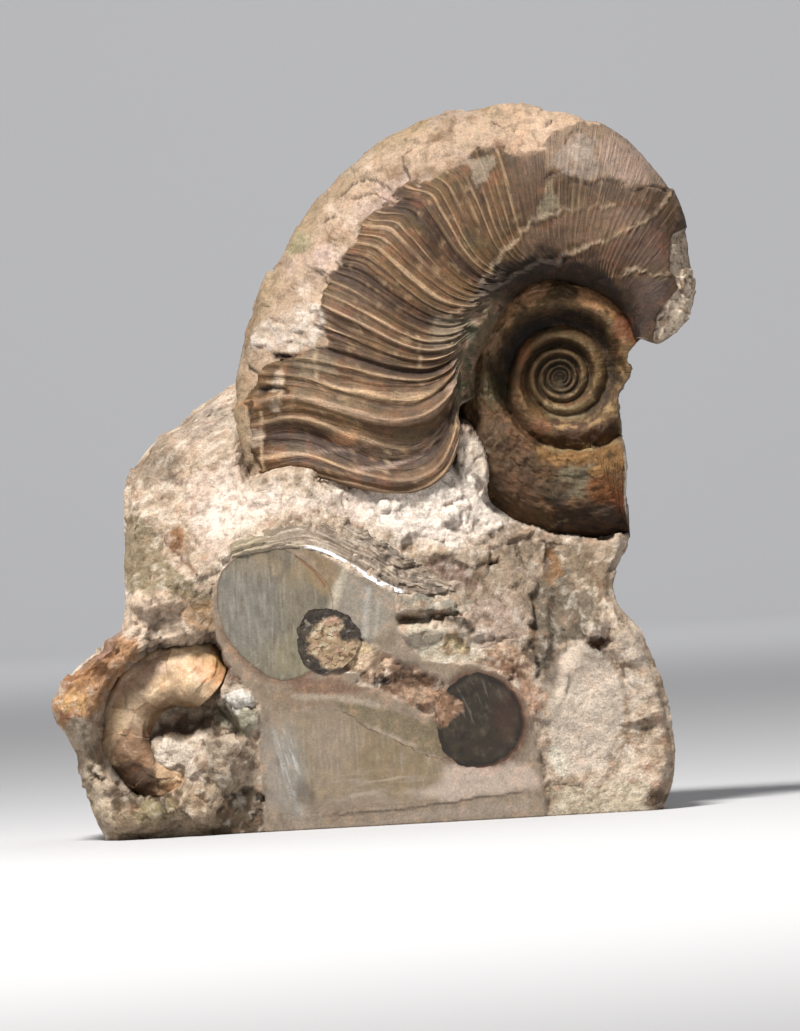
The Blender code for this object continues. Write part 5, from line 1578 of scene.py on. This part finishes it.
# %% The body chamber
CHAMBER_OUTLINE = (
    (-18.6, 3.6), (-19.0, 10.0), (-18.6, 15.8), (-16.6, 17.5), (-13.4, 17.9), (-9.5, 17.8), (-7.1, 17.5),
    (-5.3, 16.3), (-3.9, 14.8), (-1.7, 14.0), (0.3, 12.8), (2.1, 12.0), (4.4, 10.6), (6.2, 9.9), (8.2, 8.8),
    (9.2, 5.4), (7.0, 3.6), (-5.0, 2.9), (-15.0, 2.6),
)
CHAMBER_MARKS = (
    ("spot", (136, 118, 90), 0.7, (0.0, 9.5), (8.0, 5.0), -25.0, 0.9),
    # Painted reflection: a bluish sheen at the left of the chamber.
    ("spot", (152, 150, 144), 0.6, (-15.6, 9.0), (2.6, 7.0), 6.0, 0.9),
    ("spot", (154, 138, 122), 0.6, (-8.5, 12.5), (3.4, 4.0), 0.0, 0.9),
)
CHAMBER_SHADOW = ("spot", (84, 70, 58), 0.55, (-13.2, 4.2), (1.6, 3.4), 8.0, 0.9)
CHAMBER_CRACK = ("line", (96, 80, 66), 0.6, ((-12.2, 7.5), (-12.2, 2.0)), 0.2)


def chamber_colours(x, z, share):
    """Tan calcite with saw marks, a painted bluish sheen at the left and a painted pale sheen low in the
    middle.
    Its edge fades into the rock, but for a crack at the top right.
    """
    points = in_front(x, z)
    colours = sharp(plain((146, 130, 108), x.shape), x, z, CHAMBER_MARKS)
    colours = lay(colours, (168, 156, 140), ease(streaks(x, z, 511) * 1.3) * 0.5)
    colours = lay(colours, (119, 102, 81), ease(-streaks(x, z, 521) * 1.3) * 0.35)
    # Painted reflection: pale streaks of sheen at the left of the chamber.
    sheen_streaks = streaks(x + 0.25 * z, z, 523) * spot(x, z, (-15.6, 8.6), (2.4, 7.0), 8.0, 0.7)
    colours = lay(colours, (190, 188, 184), ease(1.8 * sheen_streaks - 0.1) * 0.8)
    colours = sharp(colours, x, z, (CHAMBER_SHADOW,))
    # Painted reflection: a pale sheen low in the middle.
    sheen = rough(np.stack((x * 0.25, 0 * x, (z - 0.1 * x) * 2.2), axis=-1), 2.0, 3, 541)
    painted_highlight = ease(1.6 * sheen) * spot(x, z, (-4.0, 5.0), (8.0, 3.0), 6.0, 0.9)
    colours = lay(colours, (184, 168, 152), painted_highlight * 0.7)
    colours = sharp(colours, x, z, (CHAMBER_CRACK,)) * CALCITE_TONE
    top_right = ease((z - 8.0) / 2.0) * ease((x + 8.5) / 2.0)
    fade = ease((share + 0.12 * rough(points, 3.0, 3, 533) - 0.72) / 0.24)
    fade = np.maximum(fade, ease((share - 0.96) / 0.04)) * (1.0 - top_right)
    colours = mix(colours, polished_colours(x, z), fade[..., None])
    crack = ease((share - 0.965) / 0.02) * top_right * ease(0.9 + 1.6 * rough(points, 2.4, 2, 531))
    return lay(colours, (59, 40, 30), crack * 0.9)


chamber = plate("body_chamber", CHAMBER_OUTLINE, 3.0, chamber_colours, proud=0.02, rings=80, steps=300,
                ragged=0.3)
tan_finish = finish("tan calcite", dry=0.6, shiny=0.28, mottle=0.12, grain=0.16, bump=0.3, cavity_shade=0.3,
                    stain=(146, 120, 88), stained=0.3, coat=0.05)
dress(chamber, tan_finish, "tan_calcite", "sawn_body_chamber")

# %% [markdown]
# ## The laminated strip
#
# Above the grey disc a piece of thick shell lies on the slope. It is made of many thin sheets, so its
# surface shows fine parallel lines, and the saw left its lower edge as one bright white line. It is a
# tube along a curved line, with ridges that run its whole length.

# %% Build the strip
STRIP = (  # across, height of the middle, half of its width
    (-24.4, 41.4, 0.3), (-22.4, 42.4, 1.0), (-20.0, 43.1, 1.4), (-15.8, 44.2, 2.0), (-12.0, 44.6, 2.4),
    (-8.0, 43.8, 2.7), (-4.0, 41.8, 3.4), (-0.5, 39.6, 3.6), (3.0, 37.6, 3.1), (7.0, 36.2, 2.0),
    (10.8, 34.8, 0.4),
)
SHARD_CLOUDS = (
    ((112, 102, 92), 2.0, 4, 545, 2.0, 0.0, 0.8), ((76, 64, 54), 1.4, 4, 546, 2.0, -0.4, 0.8),
    ((184, 166, 148), 1.2, 4, 547, 2.0, -0.5, 0.7),
)


def laminated_strip():
    along = np.linspace(0.0, 1.0, 300)[:, None]
    turn = np.linspace(0.0, 2.0 * math.pi, 161)[None, :]
    along, turn = np.broadcast_arrays(along, turn)
    x = mix(STRIP[0][0], STRIP[-1][0], along)
    middle, half = curve(x, STRIP, 1), curve(x, STRIP, 2)
    offset = np.cos(turn)
    torn = 0.6 * rough(np.stack((x, 0 * x, 0 * x), axis=-1), 3.0, 4, 535) * ease(offset * 3.0)
    z = middle + half * (offset + torn * 0.5)
    surface, _, _ = rock_front(x, z)
    here = in_front(x, z)
    bulge = np.sin(turn) * 0.9 * np.minimum(1.0, half / 1.2)
    bend = offset * half + 0.5 * noise(here, 6.0, 531)
    lamina = ridges(bend * 1.3, 0.7) + 0.5 * ridges(bend * 3.1, 0.6)
    broken_part = ease((x + 6.0) / 6.0)
    shards = chips(here * (0.5, 1.0, 1.4), 1.6, 532)[0]
    relief = 0.09 * lamina + broken_part * (0.34 * shards + 0.45 * rough(here, 2.0, 4, 533))
    relief = relief + 0.2 * rough(here, 1.5, 3, 534)
    y = surface + 0.25 - np.maximum(bulge, 0.0) - 1.4 * np.minimum(bulge, 0.0) - relief * (bulge > 0.05)
    layers = rough(np.stack((x * 0.16, 0 * x, bend * 2.4), axis=-1), 1.0, 4, 541)
    colours = lay(plain((142, 126, 110), x.shape), (190, 174, 156), ease(layers * 2.0) * 0.9)
    colours = lay(colours, (104, 90, 76), ease(-layers * 2.0) * 0.6)
    colours = cloudy(colours, here, SHARD_CLOUDS, broken_part)
    colours = lay(colours, (150, 138, 108), ease((-15.0 - x) / 3.0) * 0.5)
    white = ease((-offset - 0.72) / 0.1) * ease((x + 12.0) / 1.5) * (1.0 - ease((x - 2.4) / 1.0))
    colours = lay(colours, (238, 238, 240), white * ease(1.2 + rough(here, 1.2, 3, 548)))
    pale = ease((-offset - 0.4) / 0.3) * (1.0 - ease((x + 12.0) / 1.5))
    colours = lay(colours, (196, 180, 156), pale * 0.6) * mix(0.8, 1.0, white)[..., None]
    return skin("laminated_strip", np.stack((x, y, z), axis=-1), colours, 0.3 + 0.55 * white)


strip = laminated_strip()
strip_finish = finish("laminated shell", dry=0.75, shiny=0.25, mottle=0.16, grain=0.25, bump=0.5, cavity_shade=0.4,
                      stain=(104, 86, 72), stained=0.3)
dress(strip, strip_finish, "laminated_shell", "shell_fragment")

# %% [markdown]
# ## The small ammonite
#
# It is a smooth shell, worn to a rounded tube, of which nearly two thirds of a turn show. The tube is
# wide and round, gets narrower inwards, and its inner edge drops steeply to the rock in the middle.

# %% Build the small ammonite
SMALL_TURN = (54.0, 284.0)  # angles of its two ends
SMALL_DEPTH = 6.6
SMALL_END_ROWS = 10
SMALL_FRONT_POINT = (150, 35)
SMALL_CLOUDS = (((230, 208, 178), 6.0, 4, 631, 1.4, 0.0, 0.7), ((168, 136, 104), 4.0, 4, 641, 1.4, 0.0, 0.6))
SMALL_TONE = (0.8, 0.77, 0.74)
SMALL_MARKS = (
    ("spot", (206, 150, 104), 0.7, (-26.2, 24.6), (3.4, 2.2), -30.0, 0.9),
    ("spot", (184, 148, 96), 0.7, (-27.6, 27.4), (4.2, 1.6), -25.0, 0.9),
    ("spot", (150, 96, 60), 0.7, (-23.4, 23.4), (1.6, 2.4), -20.0, 0.9),
    # Painted highlight: the next spot and line are a pale edge along the upper outer rim.
    ("spot", (226, 206, 172), 0.7, (-30.6, 28.2), (4.0, 1.1), 5.0, 0.9),
    ("line", (226, 212, 190), 0.7, ((-43.2, 17.0), (-41.8, 20.8), (-39.2, 24.2), (-36.0, 26.8),
                                    (-33.0, 28.3)), 0.9, 0.9),
    ("spot", (176, 150, 134), 0.6, (-36.6, 24.4), (4.4, 1.8), 38.0, 0.9),
    ("area", (112, 78, 56), 0.7, ((-41.0, 16.0), (-36.0, 17.0), (-35.0, 8.0), (-38.0, 6.0),
                                  (-43.0, 9.0)), 2.4),
    # Painted shade on the underside of the tube.
    ("spot", (66, 50, 40), 0.8, (-39.0, 9.0), (4.4, 2.4), -20.0, 0.9),
    ("spot", (142, 98, 64), 0.7, (-31.0, 6.4), (3.6, 1.4), 5.0, 0.9),
    ("spot", (110, 66, 44), 0.7, (-28.4, 7.6), (1.8, 1.6), 0.0, 0.9),
    ("spot", (120, 92, 66), 0.5, (-35.0, 19.4), (3.6, 1.2), 30.0, 0.9),
)


def small_ammonite():
    angle = mix(*SMALL_TURN, np.linspace(0.0, 1.0, 300))[:, None]
    turn = np.linspace(0.0, 2.0 * math.pi, 141)[None, :]
    angle, turn = np.broadcast_arrays(angle, turn)
    lean = turn - 0.25 * np.sin(turn)
    across = 0.5 + 0.5 * np.cos(turn)
    outer = small_radius(angle)
    taper = ease((angle - 55.0) / 14.0)
    radius = mix(0.36 * outer, outer * mix(0.9, 1.03, taper), across)
    thick = -np.sign(np.sin(lean)) * np.abs(np.sin(lean)) ** 0.55
    depth = SMALL_DEPTH * outer / SMALL_RADIUS * thick
    at = np.radians(angle - 5.0 * np.sin(math.pi * across))
    points = np.stack((radius * np.cos(at), depth, radius * np.sin(at)), axis=-1) + SMALL_CENTRE
    out = outward(points, SMALL_FRONT_POINT)
    relief = 0.3 * chips(points, 4.0, 601)[0] + 0.7 * rough(points, 7.0, 3, 611)
    relief = relief + 0.12 * rough(points, 1.6, 4, 621)
    points = points + out * relief[..., None]
    colours = cloudy(plain((208, 180, 146), angle.shape), points, SMALL_CLOUDS)
    # Painted shade on the steep inner edge of the tube.
    colours = lay(colours, (110, 88, 66), (1.0 - ease(across / 0.22)) * 0.7)
    colours = cloudy(colours, points, (((208, 188, 160), 2.0, 4, 645, 1.8, -0.3, 0.5),))
    colours = draw(colours, points[..., 0], points[..., 2], SMALL_MARKS, 1.1, 650, 0.6) * SMALL_TONE
    ends = closed_ends(points, SMALL_END_ROWS)
    lie = np.zeros((*ends.shape[:2], 2))
    lie[SMALL_END_ROWS:-SMALL_END_ROWS] = np.stack((angle / 4.0, across * 12.0), axis=-1)
    return skin("small_shell", ends, with_ends(colours, SMALL_END_ROWS), np.full(ends.shape[:2], 0.6), lie)


small = small_ammonite()
small_finish = finish("smooth shell", dry=0.75, shiny=0.3, mottle=0.18, grain=0.2, bump=0.35, cavity_shade=0.35,
                      stain=(150, 96, 60), stained=0.35, lines=(1.2, 0.3, 0.08))
dress(small, small_finish, "smooth_shell", "small_ammonite")

# %% [markdown]
# ## Stage, light and camera
#
# The object stands on its base on a pale floor that curves up behind it. A small bright light above and
# to the left gives the ribs their shadows, and two weak ones keep the dark sides readable. A fourth
# lights the wall. The photograph was taken straight from the front with the block turned by 3.2
# degrees, so the camera is rolled by that angle. A long lens keeps the scale the same from the
# polished face to the back.

# %% Floor
FLOOR_HALF_WIDTH = 2.6
FLOOR_FRONT = -2.8
BEND_START = 2.3
BEND_RADIUS = 0.6
WALL_TOP = 3.0
BEND_STEPS = 14


def backdrop():
    """A grid one square wide, whose rows run along the floor, round the bend and up the wall."""
    profile = [(FLOOR_FRONT, 0.0), (BEND_START, 0.0)]
    for turn in np.linspace(0.1, math.pi / 2, BEND_STEPS):
        profile.append((BEND_START + BEND_RADIUS * math.sin(turn), BEND_RADIUS * (1.0 - math.cos(turn))))
    profile.append((BEND_START + BEND_RADIUS, WALL_TOP))
    rows = len(profile) - 1
    cage = bmesh.new()
    bmesh.ops.create_grid(cage, x_segments=1, y_segments=rows, size=1.0)
    for vert in cage.verts:
        y, z = profile[round((vert.co.y + 1.0) / 2.0 * rows)]
        vert.co = (vert.co.x * FLOOR_HALF_WIDTH, y, z)
    mesh = bpy.data.meshes.new("floor")
    cage.to_mesh(mesh)
    cage.free()
    mesh.shade_smooth()
    floor = bpy.data.objects.new("floor", mesh)
    bpy.context.scene.collection.objects.link(floor)
    paper = bpy.data.materials.new("pale paper")
    paper.use_nodes = True
    shader = paper.node_tree.nodes["Principled BSDF"]
    shader.inputs["Base Color"].default_value = (0.45, 0.45, 0.46, 1.0)
    shader.inputs["Roughness"].default_value = 0.9
    mesh.materials.append(paper)
    return floor


backdrop()

# %% Lights
AIM = (0.0, 0.0, 0.05)


def soft_light(name, place, size, power, colour=(1.0, 1.0, 1.0), aim=AIM):
    lamp = bpy.data.lights.new(name, "AREA")
    lamp.shape = "SQUARE"
    lamp.size = size
    lamp.energy = power
    lamp.color = colour
    holder = bpy.data.objects.new(name, lamp)
    holder.location = place
    holder.rotation_euler = (Vector(aim) - holder.location).to_track_quat("-Z", "Y").to_euler()
    bpy.context.scene.collection.objects.link(holder)


soft_light("key", (-0.18, -0.38, 0.64), 0.16, 11.5, (1.0, 0.98, 0.95))
soft_light("fill", (0.5, -1.0, 0.3), 0.8, 1.3, (0.98, 0.98, 1.0))
soft_light("rim", (0.3, 0.5, 0.7), 0.5, 2.0)
soft_light("wall", (0.0, 1.7, 1.5), 1.2, 26.0, aim=(0.0, 2.9, 0.3))
world = bpy.data.worlds.new("studio")
world.use_nodes = True
world.node_tree.nodes["Background"].inputs["Color"].default_value = (0.9, 0.93, 1.0, 1.0)
world.node_tree.nodes["Background"].inputs["Strength"].default_value = 0.12
bpy.context.scene.world = world
bpy.context.scene.view_settings.view_transform = "Standard"

# %% Camera
CAMERA_DISTANCE = 1.5
PICTURE_CENTRE = (0.0032, 0.0463)  # across and up
PICTURE_HEIGHT = 0.1567  # what the picture's height covers at the object
SENSOR = 36.0
ROLL = math.radians(3.21)

lens = bpy.data.cameras.new("camera")
lens.sensor_fit = "VERTICAL"
lens.sensor_height = SENSOR
lens.lens = SENSOR * CAMERA_DISTANCE / PICTURE_HEIGHT
lens.clip_start = 0.05
lens.clip_end = 20.0
camera = bpy.data.objects.new("camera", lens)
bpy.context.scene.collection.objects.link(camera)
camera.location = (PICTURE_CENTRE[0], -CAMERA_DISTANCE, PICTURE_CENTRE[1])
camera.rotation_euler = (math.pi / 2.0, ROLL, 0.0)
bpy.context.scene.camera = camera
